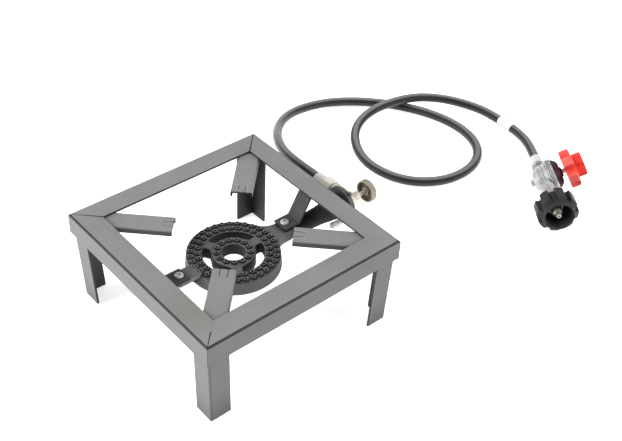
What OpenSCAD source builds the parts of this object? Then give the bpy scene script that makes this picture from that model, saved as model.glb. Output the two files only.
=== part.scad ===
// Propane burner stand: a square pot stand of welded steel angle carries a cast-iron
// ring burner, fed through a mixing tube with an air shutter, a brass needle valve, a
// hose and a regulator that screws onto a gas cylinder.
// Millimetres, +Z up, +X towards the gas inlet. The origin is on the floor, under the
// middle of the stand.

/* [Stand] */
// Outside width of the square top frame
stand_w = 254; // [250:1:262]
// Height of the top face above the floor
stand_h = 115; // [112:1:125]
// Width of the top flange of the frame angle
top_flange = 27; // [25:0.5:30]
// Height of the side flange of the frame angle
side_flange = 25; // [21:0.5:28]
// Thickness of the frame angle
frame_t = 2.5; // [2:0.1:3]
// Outside radius of the bend in the frame angle
bend_r = 3; // [2:0.5:4]

/* [Legs] */
// Width of each flange of a leg
leg_w = 25; // [20:1:30]
// Thickness of a leg
leg_t = 2.5; // [2:0.1:3]
// Outside radius of a leg's corner
leg_bend_r = 2; // [1:0.5:3]
// Distance that a foot stands inside its leg's top, each way
foot_inset = 3.3; // [0:0.1:5]

/* [Pot arms] */
// Width of a pot arm, an upturned channel
arm_w = 25; // [20:1:28]
// Height of a pot arm
arm_h = 7; // [5:0.5:9]
// Thickness of a pot arm
arm_t = 2.2; // [1.5:0.1:3]
// Outside radius of a pot arm's long edges
arm_edge_r = 1.8; // [1:0.2:2.6]
// Distance from the middle of the stand to a pot arm's tip
arm_tip = 64.6; // [62:0.2:72]
// Length of the two slits in a pot arm's tip
slit_l = 12; // [6:1:20]
// Width of the slits
slit_w = 0.8; // [0.6:0.1:1.2]

/* [Burner straps] */
// Width of a strap
strap_w = 20; // [16:0.5:22]
// Thickness of a strap
strap_t = 2.5; // [2:0.1:3]
// Radius of a strap's bends, at the middle of its thickness
strap_bend_r = 4; // [3:0.5:6]
// Length of a strap's foot inwards from its bolt
strap_toe = 7; // [6.5:0.5:8]
// Length of a strap's foot outwards from its bolt
strap_heel = 14; // [12:0.5:16]
// Length of a strap's tab under the frame
strap_tab = 18; // [14:0.5:20]

/* [Bolts] */
// Diameter of the strap bolts
bolt_d = 6; // [5:0.5:6]
// Diameter of a strap bolt's head
bolt_head_d = 10; // [9:0.5:11]
// Height of a strap bolt's head
bolt_head_h = 2.4; // [2:0.2:3]
// Length of a strap bolt under its head
bolt_l = 16; // [14:1:17]
// Width of the strap nut across its flats
strap_nut_af = 10; // [9:0.5:10]
// Height of the strap nut
strap_nut_h = 5; // [4:0.5:5]

/* [Burner casting] */
// Depth of the burner's top below the top of the stand
burner_drop = 35; // [32:0.5:40]
// Outside radius of the ring at its top
ring_r = 52; // [51:0.5:54]
// Extra radius at the foot of the ring's wall
ring_draft = 1.4; // [0.5:0.1:2]
// Width of the ring, from its outside to its inside
ring_w = 17.3; // [17:0.1:18]
// Height of the casting
ring_h = 15; // [14:0.5:17]
// Outside radius of the hub
hub_r = 24.6; // [24:0.1:26]
// Radius of the hole through the hub
eye_r = 13.3; // [13:0.1:14]
// Thickness of the casting's side walls
side_wall = 2.1; // [1.8:0.1:2.3]
// Thickness of the casting's top
top_wall = 3; // [2.5:0.1:3.5]
// Thickness of the casting's floor
floor_wall = 2.5; // [2:0.1:3]
// Number of spokes between the ring and the hub
spokes = 3; // [3:1:5]
// Width of a spoke
spoke_w = 11.5; // [10:0.5:13]
// Depth of a spoke's faces below the ring's faces
spoke_sink = 0.5; // [0.3:0.1:1.5]
// Radius of the fillets at a spoke's ends
spoke_fillet = 3; // [2:0.25:3.5]
// Distance from the ring's outside to each strap bolt
lug_reach = 20; // [19:0.5:22]
// Height of the strap lugs above the burner's top
lug_rise = 2.5; // [2:0.1:4]
// Radius of the lug in the neck, round its tapped hole
lug_r = 6; // [5:0.25:6.5]
// Depth of that lug below the burner's top
lug_depth = 14; // [13:0.5:15]
// Radius of the concave sides of the neck
neck_fillet = 20; // [16:1:24]
// Width of the ear opposite the neck
ear_w = 19; // [16:0.5:20]
// Thickness of the ear
ear_t = 5; // [4:0.5:6]
// Thickness of the rib under the ear
rib_t = 6; // [5:0.5:8]

/* [Gas jets] */
// Number of jets in the outer row of the ring
outer_jets = 34; // [24:1:34]
// Number of jets in the inner row of the ring
inner_jets = 28; // [20:1:28]
// Number of jets in the hub
hub_jets = 13; // [9:1:13]
// Radius of the outer row
outer_row_r = 47.4; // [46.8:0.1:47.6]
// Radius of the inner row
inner_row_r = 39.2; // [38.9:0.1:39.6]
// Radius of the row in the hub
hub_row_r = 18.6; // [17.8:0.1:19.4]
// Radius of a jet's nipple at its foot
nipple_r = 3.3; // [2.9:0.1:3.5]
// Radius of a jet's nipple at its tip
nipple_tip_r = 2.2; // [1.8:0.1:2.5]
// Height of a nipple
nipple_h = 1.5; // [1:0.1:2]
// Radius of the hole in a jet
jet_r = 1.1; // [0.6:0.1:1.3]

/* [Mixing tube] */
// Depth of the tube's axis below the burner's top
tube_drop = 10.5; // [10:0.1:12]
// Outside radius of the tube at its throat
throat_r = 9.6; // [9.2:0.1:10.5]
// Outside radius of the bell at the tube's end
bell_r = 14; // [13.6:0.1:14.3]
// Thickness of the tube's wall
tube_wall = 2; // [1.7:0.1:2.2]
// Distance that the tube reaches out past the frame
tube_overhang = 32.5; // [30:0.5:36]
// Radius of the end plate
plate_r = 22; // [21.5:0.1:23]
// Thickness of the end plate
plate_t = 3.5; // [3:0.1:4]
// Inside radius of the air windows
window_in_r = 7.3; // [7.2:0.1:7.6]
// Outside radius of the air windows
window_out_r = 11.8; // [11.4:0.1:11.8]
// Angle that each air window spans
window_span = 90; // [70:5:95]

/* [Air shutter] */
// Thickness of the shutter
shutter_t = 1.5; // [1.2:0.1:2]
// Radius of the spigot that the shutter turns on
spigot_r = 6.4; // [6.2:0.05:6.6]
// Running clearance between the shutter and its spigot
spigot_clear = 0.08; // [0.05:0.01:0.1]
// Free play of the shutter along its axis, each side
shutter_play = 0.2; // [0.1:0.05:0.3]
// Angle that the shutter turns
shutter_turn = 80; // [60:5:85]
// Radius of the screw's place on the end plate
screw_row_r = 18.2; // [18:0.1:18.4]
// Angle of the screw's place, down from the side where the hose leaves
screw_angle = 130; // [80:5:135]
// Width of the shutter's finger tab
tab_w = 5; // [4:0.5:8]
// Reach of the finger tab beyond the shutter
tab_reach = 2.5; // [2:0.5:5]
// Height of the tab's turned-up edge
tab_fold = 2; // [1.5:0.5:4]
// Angle of the finger tab
tab_angle = 118; // [110:1:125]
// Diameter of the shutter screw
screw_d = 4; // [3.5:0.1:4]
// Diameter of the shutter screw's head
screw_head_d = 8; // [7:0.5:8]
// Height of the shutter screw's head
screw_head_h = 2.4; // [2:0.1:3]
// Length of the compressed shutter spring
shutter_spring_l = 20; // [16:0.5:22]
// Outside diameter of the spring
shutter_spring_d = 7.8; // [7:0.1:7.8]
// Diameter of the spring's wire
shutter_wire_d = 1.1; // [0.9:0.1:1.2]
// Width of the shutter nut across its flats
shutter_nut_af = 7; // [6.5:0.5:7]
// Height of the shutter nut
shutter_nut_h = 3.2; // [2.5:0.1:4]

/* [Needle valve] */
// Distance from the end plate to the valve's inlet axis
valve_reach = 10.7; // [10.5:0.1:12]
// Radius of the nose that screws into the end plate
nose_r = 4.9; // [4.5:0.1:5]
// Depth of the nose beyond the end plate's face
nose_depth = 7.5; // [6:0.5:10]
// Width of the valve's shoulder across its flats
shoulder_af = 17; // [16:0.5:18]
// Length of the valve's shoulder
shoulder_l = 4; // [3:0.5:4.5]
// Radius of the valve's barrel
barrel_r = 9; // [8.5:0.1:9.5]
// Distance from the inlet axis to the barrel's front
barrel_front = 6; // [5:0.5:8]
// Width of the inlet arm's hexagon across its flats
arm_af = 17; // [15:0.5:17]
// Radius of the collar behind the swivel nut
collar_r = 9.7; // [9:0.1:10.5]
// Radius of the inlet's threaded end
inlet_r = 7.7; // [7:0.1:7.9]
// Radius of the gas passage
passage_r = 2.5; // [2:0.1:2.8]
// Radius of the needle's seat
seat_r = 1.6; // [1.5:0.1:1.8]
// Radius of the threaded neck under the packing nut
neck_r = 4.2; // [4:0.1:4.4]
// Length of the threaded neck
neck_l = 6; // [5:0.5:7]
// Width of the packing nut across its flats
packing_af = 11; // [10.5:0.5:12]
// Length of the packing nut
packing_l = 7; // [6.5:0.5:8]
// Radius of the valve stem
stem_r = 2.65; // [2.4:0.05:2.8]
// Running clearance round the valve stem
stem_clear = 0.08; // [0.05:0.01:0.1]
// Length of the needle's cone
needle_l = 4.6; // [4:0.1:5]
// Distance from the inlet axis to the knob's open side
knob_reach = 26; // [24:0.5:30]

/* [Valve knob] */
// Radius of the knob
knob_r = 14; // [12:0.5:16]
// Depth of the knob's knurled rim
knob_depth = 8; // [7:0.5:10]
// Thickness of the knob's rim and face
knob_t = 1.8; // [1.5:0.1:2.2]
// Radius of the knob's hub
knob_hub_r = 5; // [4.5:0.1:5.5]
// Number of flutes round the knob
flutes = 28; // [16:1:32]
// Radius of a flute
flute_r = 0.7; // [0.5:0.1:0.8]

/* [Hose ends] */
// Outside diameter of the hose
hose_d = 12.5; // [11:0.5:13]
// Radius of the crimped ferrules
ferrule_r = 7.8; // [7.4:0.1:8.4]
// Length of a ferrule
ferrule_l = 15.5; // [14:0.5:18]
// Width of the swivel nut across its flats
swivel_af = 19; // [18.5:0.5:20]
// Length of the swivel nut
swivel_l = 13.5; // [13:0.5:16]
// Radius of the hose's stem behind the swivel nut
tail_r = 5.2; // [4.8:0.1:5.6]
// Thickness of the label round the hose
label_t = 0.6; // [0.4:0.1:1]

/* [Regulator] */
// Height of the hose's end at the regulator
hose_end_z = 20.5; // [20:0.5:24]
// Slope of the regulator's axis, up towards the gas nut
reg_tilt = 3.6; // [3.6:0.1:6]
// Distance from the hose to the bonnet's axis
bonnet_x = 48.5; // [47:0.5:52]
// Slope of the bonnet's axis, up from level
bonnet_tilt = 28; // [20:1:45]
// Radius of the bonnet's clamp ring
clamp_r = 22.5; // [22:0.1:23.5]
// Thickness of the clamp ring's wall
clamp_t = 1.3; // [1:0.1:1.6]
// Height of the clamp ring
clamp_h = 8.5; // [7:0.5:9]
// Thickness of the diaphragm
diaphragm_t = 1; // [0.8:0.1:1.4]
// Height of the bonnet's dome
dome_h = 12.5; // [12:0.5:14]
// Thickness of the bonnet
bonnet_t = 2; // [1.6:0.1:2.4]
// Radius of the adjusting screw
adjuster_r = 3.2; // [2.8:0.1:3.5]
// Bare length of the adjusting screw under the red knob
adjuster_bare = 4; // [3:0.5:7]
// Diameter of the regulating spring's wire
spring_wire_d = 1.6; // [1.2:0.1:1.8]

/* [Regulator knob] */
// Radius over the knob's lobes
lobe_r = 25; // [23:0.5:26]
// Radius of the knob between its lobes
waist_r = 17; // [16.5:0.5:18]
// Width of a lobe
lobe_w = 12.5; // [10:0.5:13]
// Number of lobes
lobes = 6; // [5:1:6]
// Depth of the lobes
lobe_depth = 13; // [11:0.5:15]
// Radius of the knob's front
front_r = 15.5; // [14:0.5:16]
// Depth of the knob's front, before the lobes
front_depth = 12; // [10:0.5:14]
// Radius of the finger hollows round the knob's front
hollow_r = 4; // [3:0.5:5]

/* [Gas nut] */
// Distance from the hose to the back of the gas nut
nut_x = 106.5; // [105:0.5:110]
// Length of the gas nut
nut_l = 28; // [27:0.5:30]
// Radius over the nut's grips
grip_r = 26; // [25:0.5:26.5]
// Length of the grips
grip_l = 22; // [20:0.5:23]
// Width of a grip
grip_w = 11; // [8:0.5:12]
// Number of grips
grips = 8; // [6:1:8]
// Radius of the nut's mouth
mouth_r = 20; // [19.8:0.1:21]
// Inside radius of the nut
nut_bore_r = 16.9; // [16.7:0.1:17.4]
// Thickness of the nut's back wall
nut_back = 3; // [2.5:0.1:4]
// Radius of the nipple's shank, which the nut turns on
shank_r = 6; // [5.5:0.1:6.5]
// Running clearance round the shank
shank_clear = 0.1; // [0.05:0.01:0.1]
// Free play of the nut along the nipple
nut_play = 0.4; // [0.3:0.1:0.8]
// Radius of the nipple's stop flange
stop_r = 10; // [9:0.5:12]
// Radius of the nipple's barrel
nipple_barrel_r = 6.6; // [6.2:0.1:7]
// Radius of the nipple's tip
gas_tip_r = 3; // [2.8:0.1:3.6]
// Depth of the nipple's tip inside the nut's mouth
tip_depth = 1.5; // [1:0.5:3]

/* [Hidden] */
$fn = 96;

// Colours
steel_grey = "#949698";
strap_grey = "#5c5e60";
iron = "#4b4c4e";
shutter_grey = "#6a6c6e";
zinc = "#d9dadb";
brass = "#d8c79a";
rubber = "#303132";
die_cast = "#c9cbcc";
bonnet_dark = "#4a3f48";
signal_red = "#e02a22";
plastic_black = "#2c2d2e";

// Clearances
eps = 0.01; // overlap that keeps two cuts from sharing a face
weld_gap = 0.1; // between a leg's top and the side flange that it is welded inside
thread_clear = 0.05; // between a screw and its tapped hole
bolt_clear = 0.3; // between a screw and a plain hole

// Stand
half_w = stand_w / 2;
plate_under = stand_h - frame_t; // underside of the top flange
leg_top = plate_under;
leg_corner = half_w - frame_t - weld_gap; // a leg's outside corner at its top
leg_lean = atan(foot_inset * sqrt(2) / leg_top);
leg_corner_gap = 4; // from a pot arm's end to the legs' inside faces
arm_end = sqrt(2) * (leg_corner - leg_t) - arm_w / 2 - leg_corner_gap;

// Burner
burner_top = stand_h - burner_drop;
lug_x = ring_r + lug_reach;
lug_top = lug_rise; // heights in the casting are measured from the burner's top
strap_seat = burner_top + lug_rise;
ring_in_r = ring_r - ring_w;
edge_cut = 0.8; // chamfer on the casting's top edges
channel_floor = floor_wall - ring_h;
channel_top = -top_wall;
neck_half = throat_r + 0.4; // half the neck's width at the lug
ear_root = ring_r - 4;

// Mixing tube
tube_z = burner_top - tube_drop;
tube_start = ring_r - 5; // the tube opens into the ring's gas channel here
tube_end = half_w + tube_overhang; // outside face of the end plate
plate_back = tube_end - plate_t;
bell_back = plate_back - 10;
spigot_end = tube_end + shutter_t + 2 * shutter_play;
shutter_face = tube_end + shutter_play;

// Shutter screw
nut_face = shutter_face + shutter_t + shutter_play;
screw_head_x = plate_back - shutter_spring_l;
spring_coil_r = (shutter_spring_d - shutter_wire_d) / 2;

// Valve
valve_x = tube_end + valve_reach;
shoulder_x = spigot_end;
nose_start = tube_end - nose_depth;
seat_x = shoulder_x + shoulder_l + 0.6;
barrel_end = valve_x + barrel_front;
neck_end = barrel_end + neck_l;
chamber_r = stem_r + 1;
packing_x = barrel_end + 2;
needle_x = seat_x - 2; // the needle's tip with the valve shut
knob_x = valve_x + knob_reach;
knob_face = knob_x + knob_depth;
stem_end = knob_face - knob_t - 0.2;
arm_hex_y = 8;
arm_hex_l = 12;
collar_y = 23;
collar_l = 3;
inlet_end = 35;
knob_screw_r = 1.5;

// Swivel nut and ferrule
swivel_y = collar_y + collar_l + 1;
swivel_end = swivel_y + swivel_l;
swivel_back = 3; // thickness of the swivel nut's back wall
tail_head_r = inlet_r - 0.5;
ferrule_end = swivel_end + 0.3 + ferrule_l;

// Regulator
reg_azimuth = -128;
reg_origin = [474.4, -44.1, hose_end_z];
reg_way = [
    cos(reg_tilt) * cos(reg_azimuth), cos(reg_tilt) * sin(reg_azimuth), sin(reg_tilt),
];
hose_r = hose_d / 2;
body_x = ferrule_l + 3.5; // the regulator's body starts behind the ferrule
body_end = nut_x - nut_play;
rim_r = clamp_r - clamp_t - 0.15; // the body, diaphragm and bonnet inside the clamp ring
cup_bottom = -13; // heights on the bonnet's axis are measured from the regulator's axis
rim_z = 10; // top face of the body's rim
clamp_z = 7.5; // the clamp ring's edge below the rim
clamp_lip = 1.6; // thickness of the clamp ring's lip over the bonnet
bonnet_z = rim_z + diaphragm_t;
flange_z = clamp_z + clamp_h - clamp_lip;
dome_r = rim_r - 1.7;
dome_top = bonnet_z + dome_h;
bonnet_neck_r = 6.5;
bonnet_end = dome_top + 2;
button_top = dome_top - bonnet_t - 0.5;
button_h = 2;
disc_h = 1.4;
adjuster_clear = 0.08;
red_knob_z = bonnet_end + adjuster_bare;
adjuster_end = red_knob_z + lobe_depth;

// Gas nut
mouth_x = nut_x + nut_l;
stop_x = nut_x + nut_back + nut_play;
stop_t = 3;
tip_x = mouth_x - tip_depth;
seal_x = stop_x + stop_t + 0.5;
seal_l = 4;
seal_groove = 0.8;

// Middle line of the hose from the valve's ferrule to the regulator's
hose_route = [
    [valve_x, ferrule_end, tube_z], [171, 94, 68], [177, 124, 63], [189, 152, 56],
    [206, 178, 48], [226, 201, 39], [248, 220, 32], [275, 236, 24], [303, 245, 17],
    [335, 246, 12], [364, 239, 9], [391, 224, 7], [415, 202, 6.5], [435, 177, 6.5],
    [450, 150, 6.5], [461, 120, 6.5], [465, 89, 6.5], [461, 58, 6.5], [447, 31, 6.5],
    [422, 12, 6.5], [392, 5, 6.5], [361, 8, 6.5], [333, 22, 6.5], [312, 45, 6.5],
    [302, 74, 6.5], [301, 105, 6.5], [311, 135, 9], [330, 160, 13], [356, 174, 17],
    [387, 178, 20], [418, 174, 21], [449, 166, 21], [478, 154, 16], [502, 136, 11],
    [518, 112, 8], [525, 88, 7], [524, 62, 7.5], [518, 28, 10.7], [502, -8, 17.2],
    reg_origin,
];
label_step = 36; // the label sits on the stretch of hose after this point
label_l = 26;

// ---- Helpers ----

// L section with its outside corner at the origin, one flange along +x, one along -y
module angle_section(across, down, t, r) {
    difference() {
        translate([0, -down]) square([across, down]);
        translate([t, -down - 1]) square([across, down + 1 - t]);
        difference() {
            translate([-1, -r]) square([r + 1, r + 1]);
            translate([r, -r]) circle(r);
        }
    }
}

// Hexagonal bar with its corners turned down at both ends
module hex_bar(af, l) {
    corner = af / sqrt(3);
    turned = (corner - af / 2) * 0.6;
    intersection() {
        cylinder(r = corner, h = l, $fn = 6);
        rotate_extrude()
            polygon([
                [0, 0], [af / 2, 0], [corner, turned],
                [corner, l - turned], [af / 2, l], [0, l],
            ]);
    }
}

// Puts local z along the mixing tube, local x along +Y and local y up
module on_tube(x) translate([x, 0, tube_z]) rotate([90, 0, 90]) children();

// Puts local z along the valve's inlet arm, at distance y from the tube's axis
module on_inlet(y) translate([valve_x, y, tube_z]) rotate([-90, 0, 0]) children();

// Puts local z along the regulator's axis, at distance x from the hose
module on_regulator(x)
    translate(reg_origin) rotate([0, -reg_tilt, reg_azimuth])
        translate([x, 0, 0]) rotate([90, 0, 90]) children();

// Puts local z along the bonnet's axis, up and out of the regulator
module on_bonnet(z)
    translate(reg_origin) rotate([0, -reg_tilt, reg_azimuth])
        translate([bonnet_x, 0, 0]) rotate([bonnet_tilt - 90, 0, 0])
            translate([0, 0, z]) children();

function unit(v) = v / norm(v);

// Direction of travel at point i of a path
function heading(path, i) =
    i == 0 ? unit(path[1] - path[0])
    : i == len(path) - 1 ? unit(path[i] - path[i - 1])
    : unit(unit(path[i + 1] - path[i]) + unit(path[i] - path[i - 1]));

// Ring of points round a path's point, square to the direction ahead
function ring_at(centre, ahead, r, sides, up) =
    let (
        across = unit(cross(ahead, up)),
        over = cross(across, ahead)
    )
    [for (k = [0 : sides - 1]) centre
        + r * cos(360 * k / sides) * across
        + r * sin(360 * k / sides) * over];

// Round bar swept along a path; its end faces can be square to given directions
module swept_bar(path, r, sides, way_out = undef, way_in = undef) {
    rings = len(path);
    ahead = [for (i = [0 : rings - 1])
        i == 0 && !is_undef(way_out) ? way_out
        : i == rings - 1 && !is_undef(way_in) ? way_in
        : heading(path, i)];
    points = [for (i = [0 : rings - 1])
        each ring_at(path[i], ahead[i], r, sides, [0, 0.02, 1])];
    sides_list = [for (i = [0 : rings - 2], k = [0 : sides - 1])
        [i * sides + k, i * sides + (k + 1) % sides,
            (i + 1) * sides + (k + 1) % sides, (i + 1) * sides + k]];
    first = [for (k = [sides - 1 : -1 : 0]) k];
    last = [for (k = [0 : sides - 1]) (rings - 1) * sides + k];
    polyhedron(points, concat([first, last], sides_list));
}

// Middle line of a compression spring that stands on z = 0
function coil_path(r, l, turns, steps) =
    [for (i = [0 : turns * steps])
        [r * cos(360 * i / steps), r * sin(360 * i / steps), l * i / (turns * steps)]];

// ---- Stand ----

module frame_bar(turn) {
    color(steel_grey)
    rotate(turn)
    intersection() {
        translate([-half_w, half_w, stand_h]) rotate([90, 0, 0])
            linear_extrude(stand_w)
                angle_section(top_flange, side_flange, frame_t, bend_r);
        linear_extrude(stand_h + 1)
            polygon([[0, 0], [-stand_w, stand_w], [-stand_w, -stand_w]]);
    }
}

module leg(turn) {
    color(steel_grey)
    rotate(turn)
    intersection() {
        translate([leg_corner, leg_corner, leg_top])
            rotate(a = leg_lean, v = [-1, 1, 0])
                translate([0, 0, -1.2 * leg_top])
                    linear_extrude(1.4 * leg_top)
                        mirror([1, 0]) angle_section(leg_w, leg_w, leg_t, leg_bend_r);
        translate([0, 0, leg_top / 2]) cube([stand_w, stand_w, leg_top], center = true);
    }
}

module arm_section() {
    difference() {
        translate([-arm_w / 2, -arm_h]) square([arm_w, arm_h]);
        translate([-arm_w / 2 + arm_t, -arm_h - 1])
            square([arm_w - 2 * arm_t, arm_h + 1 - arm_t]);
        for (side = [-1, 1])
            scale([side, 1])
                difference() {
                    translate([arm_w / 2 - arm_edge_r, -arm_edge_r])
                        square(arm_edge_r + 1);
                    translate([arm_w / 2 - arm_edge_r, -arm_edge_r]) circle(arm_edge_r);
                }
    }
}

module pot_arm(turn) {
    color(steel_grey)
    rotate(turn)
    translate([0, 0, plate_under])
    difference() {
        translate([arm_tip, 0, 0]) rotate([90, 0, 90])
            linear_extrude(arm_end - arm_tip) arm_section();
        for (side = [-1, 1])
            translate([arm_tip - 1, side * arm_w / 6 - slit_w / 2, -arm_t - 1])
                cube([slit_l + 1, slit_w, arm_t + 2]);
    }
}

// ---- Burner straps ----

// Corner of a bent strip, rounded in steps: the bend's points from leg to leg
function bend_points(a, b, c, r) =
    let (
        back = unit(a - b), on = unit(c - b),
        half = acos(max(-1, min(1, back * on))) / 2,
        middle = b + unit(back + on) * r / sin(half),
        from = b + back * r / tan(half) - middle,
        to = b + on * r / tan(half) - middle
    )
    [for (k = [0 : 6]) middle + r * unit(from * (6 - k) + to * k)];

// Outline of a strip of thickness t along a path of points in a plane
function strip_outline(path, t) =
    let (
        n = len(path),
        normals = [for (i = [0 : n - 1])
            let (h = i == 0 ? unit(path[1] - path[0])
                : i == n - 1 ? unit(path[i] - path[i - 1])
                : unit(unit(path[i + 1] - path[i]) + unit(path[i] - path[i - 1])))
            [-h.y, h.x]]
    )
    concat(
        [for (i = [0 : n - 1]) path[i] + normals[i] * t / 2],
        [for (i = [n - 1 : -1 : 0]) path[i] - normals[i] * t / 2]
    );

module strap() {
    low = strap_seat + strap_t / 2;
    high = plate_under - strap_t / 2;
    tab_end = half_w - frame_t - 5.5;
    toe = [lug_x - strap_toe, low];
    heel = [lug_x + strap_heel, low];
    knee = [tab_end - strap_tab, high];
    tip = [tab_end, high];
    path = concat(
        [toe], bend_points(toe, heel, knee, strap_bend_r),
        bend_points(heel, knee, tip, strap_bend_r), [tip]
    );
    color(strap_grey)
    difference() {
        translate([0, strap_w / 2, 0]) rotate([90, 0, 0])
            linear_extrude(strap_w) polygon(strip_outline(path, strap_t));
        translate([lug_x, 0, strap_seat - 1])
            cylinder(r = bolt_d / 2 + bolt_clear, h = strap_t + 2);
    }
}

module strap_left() mirror([1, 0, 0]) strap();

module strap_right() strap();

module strap_bolts() {
    head_z = strap_seat + strap_t;
    color(zinc)
    for (side = [-1, 1])
        translate([side * lug_x, 0, head_z])
            difference() {
                union() {
                    translate([0, 0, -bolt_l]) cylinder(d = bolt_d, h = bolt_l + eps);
                    rotate_extrude()
                        polygon([
                            [0, 0], [bolt_head_d / 2, 0],
                            [bolt_head_d / 2, bolt_head_h * 0.45],
                            [bolt_head_d * 0.4, bolt_head_h * 0.85],
                            [bolt_head_d * 0.22, bolt_head_h], [0, bolt_head_h],
                        ]);
                }
                for (turn = [0, 90])
                    rotate(turn + 30) translate([0, 0, bolt_head_h])
                        cube([bolt_head_d * 0.55, 1.1, 2.4], center = true);
            }
}

module strap_nut() {
    color(zinc)
    translate([-lug_x, 0, burner_top + lug_top - ear_t - strap_nut_h])
        difference() {
            hex_bar(strap_nut_af, strap_nut_h);
            translate([0, 0, -1])
                cylinder(r = bolt_d / 2 + thread_clear, h = strap_nut_h + 2);
        }
}

// ---- Burner casting ----

// Plan of one spoke along +x, with fillets where it meets the hub and the ring
module spoke_plan() {
    inner = hub_r - 2;
    outer = ring_in_r + 2;
    line = spoke_w / 2 + spoke_fillet;
    difference() {
        translate([inner, -line]) square([outer - inner, 2 * line]);
        for (side = [-1, 1]) {
            translate([hub_r + spoke_fillet - 0.7, side * line]) circle(spoke_fillet);
            translate([ring_in_r - spoke_fillet - 0.4, side * line]) circle(spoke_fillet);
            translate([hub_r + spoke_fillet - 0.7, side * line - spoke_fillet])
                square([ring_in_r - hub_r - 2 * spoke_fillet + 0.3, 2 * spoke_fillet]);
        }
    }
}

// Plan of the neck: its concave sides run off the ring into the tube
module neck_plan() {
    centre_y = neck_half + neck_fillet;
    centre_x = sqrt(pow(ring_r + neck_fillet, 2) - pow(centre_y, 2));
    share = ring_r / (ring_r + neck_fillet);
    start_x = centre_x * share;
    start_y = centre_y * share;
    difference() {
        translate([start_x - 6, -start_y]) square([centre_x - start_x + 6, 2 * start_y]);
        for (side = [-1, 1])
            translate([centre_x, side * centre_y]) circle(neck_fillet);
    }
    translate([centre_x - eps, -neck_half]) square([lug_x - centre_x + eps, 2 * neck_half]);
    translate([lug_x, 0]) circle(neck_half);
}

// Plan of the ear opposite the neck
module ear_plan() {
    translate([ear_root, -ear_w / 2]) square([lug_x - ear_root, ear_w]);
    translate([lug_x, 0]) circle(ear_w / 2);
}

// Section of a ring of the casting between two radii
module casting_section(inner, outer, draft) {
    polygon([
        [inner, -ring_h], [outer + draft, -ring_h], [outer, -edge_cut],
        [outer - edge_cut, 0], [inner + edge_cut, 0], [inner, -edge_cut],
    ]);
}

module channel(inner, outer) {
    rotate_extrude()
        translate([inner + side_wall, channel_floor])
            square([outer - inner - 2 * side_wall, channel_top - channel_floor]);
}

// Calls its children at every jet's place
module at_jets() {
    rows = [[outer_jets, outer_row_r], [inner_jets, inner_row_r], [hub_jets, hub_row_r]];
    for (row = rows, k = [0 : row[0] - 1])
        rotate(360 * (k + 0.5) / row[0]) translate([row[1], 0, 0]) children();
}

// Outside of the mixing tube, from the ring to the end plate
module tube_outside() {
    taper_start = lug_x + 23;
    taper = bell_back - taper_start;
    on_tube(0)
        rotate_extrude()
            polygon([
                [0, tube_start], [throat_r, tube_start], [throat_r, taper_start],
                [throat_r + 0.36 * (bell_r - throat_r), taper_start + 0.55 * taper],
                [throat_r + 0.8 * (bell_r - throat_r), taper_start + 0.88 * taper],
                [bell_r, bell_back], [bell_r, plate_back], [plate_r, plate_back],
                [plate_r, tube_end - 0.5], [plate_r - 0.5, tube_end],
                [spigot_r, tube_end], [spigot_r, spigot_end], [0, spigot_end],
            ]);
    on_tube(tube_start) sphere(throat_r);
}

// Gas passage of the mixing tube, flaring towards the bell
module tube_inside() {
    taper_start = lug_x + 23;
    bore = throat_r - tube_wall;
    on_tube(0)
        rotate_extrude()
            polygon([
                [0, tube_start], [bore, tube_start], [bore, taper_start],
                [bell_r - tube_wall, bell_back], [bell_r - tube_wall, plate_back],
                [0, plate_back],
            ]);
    on_tube(tube_start) sphere(bore);
}

// Air windows through the end plate, on both sides of the tube
module air_windows() {
    on_tube(plate_back - 1)
        linear_extrude(plate_t + 2)
            for (side = [0, 180])
                rotate(side) slice_plan(window_in_r, window_out_r, window_span);
}

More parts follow.
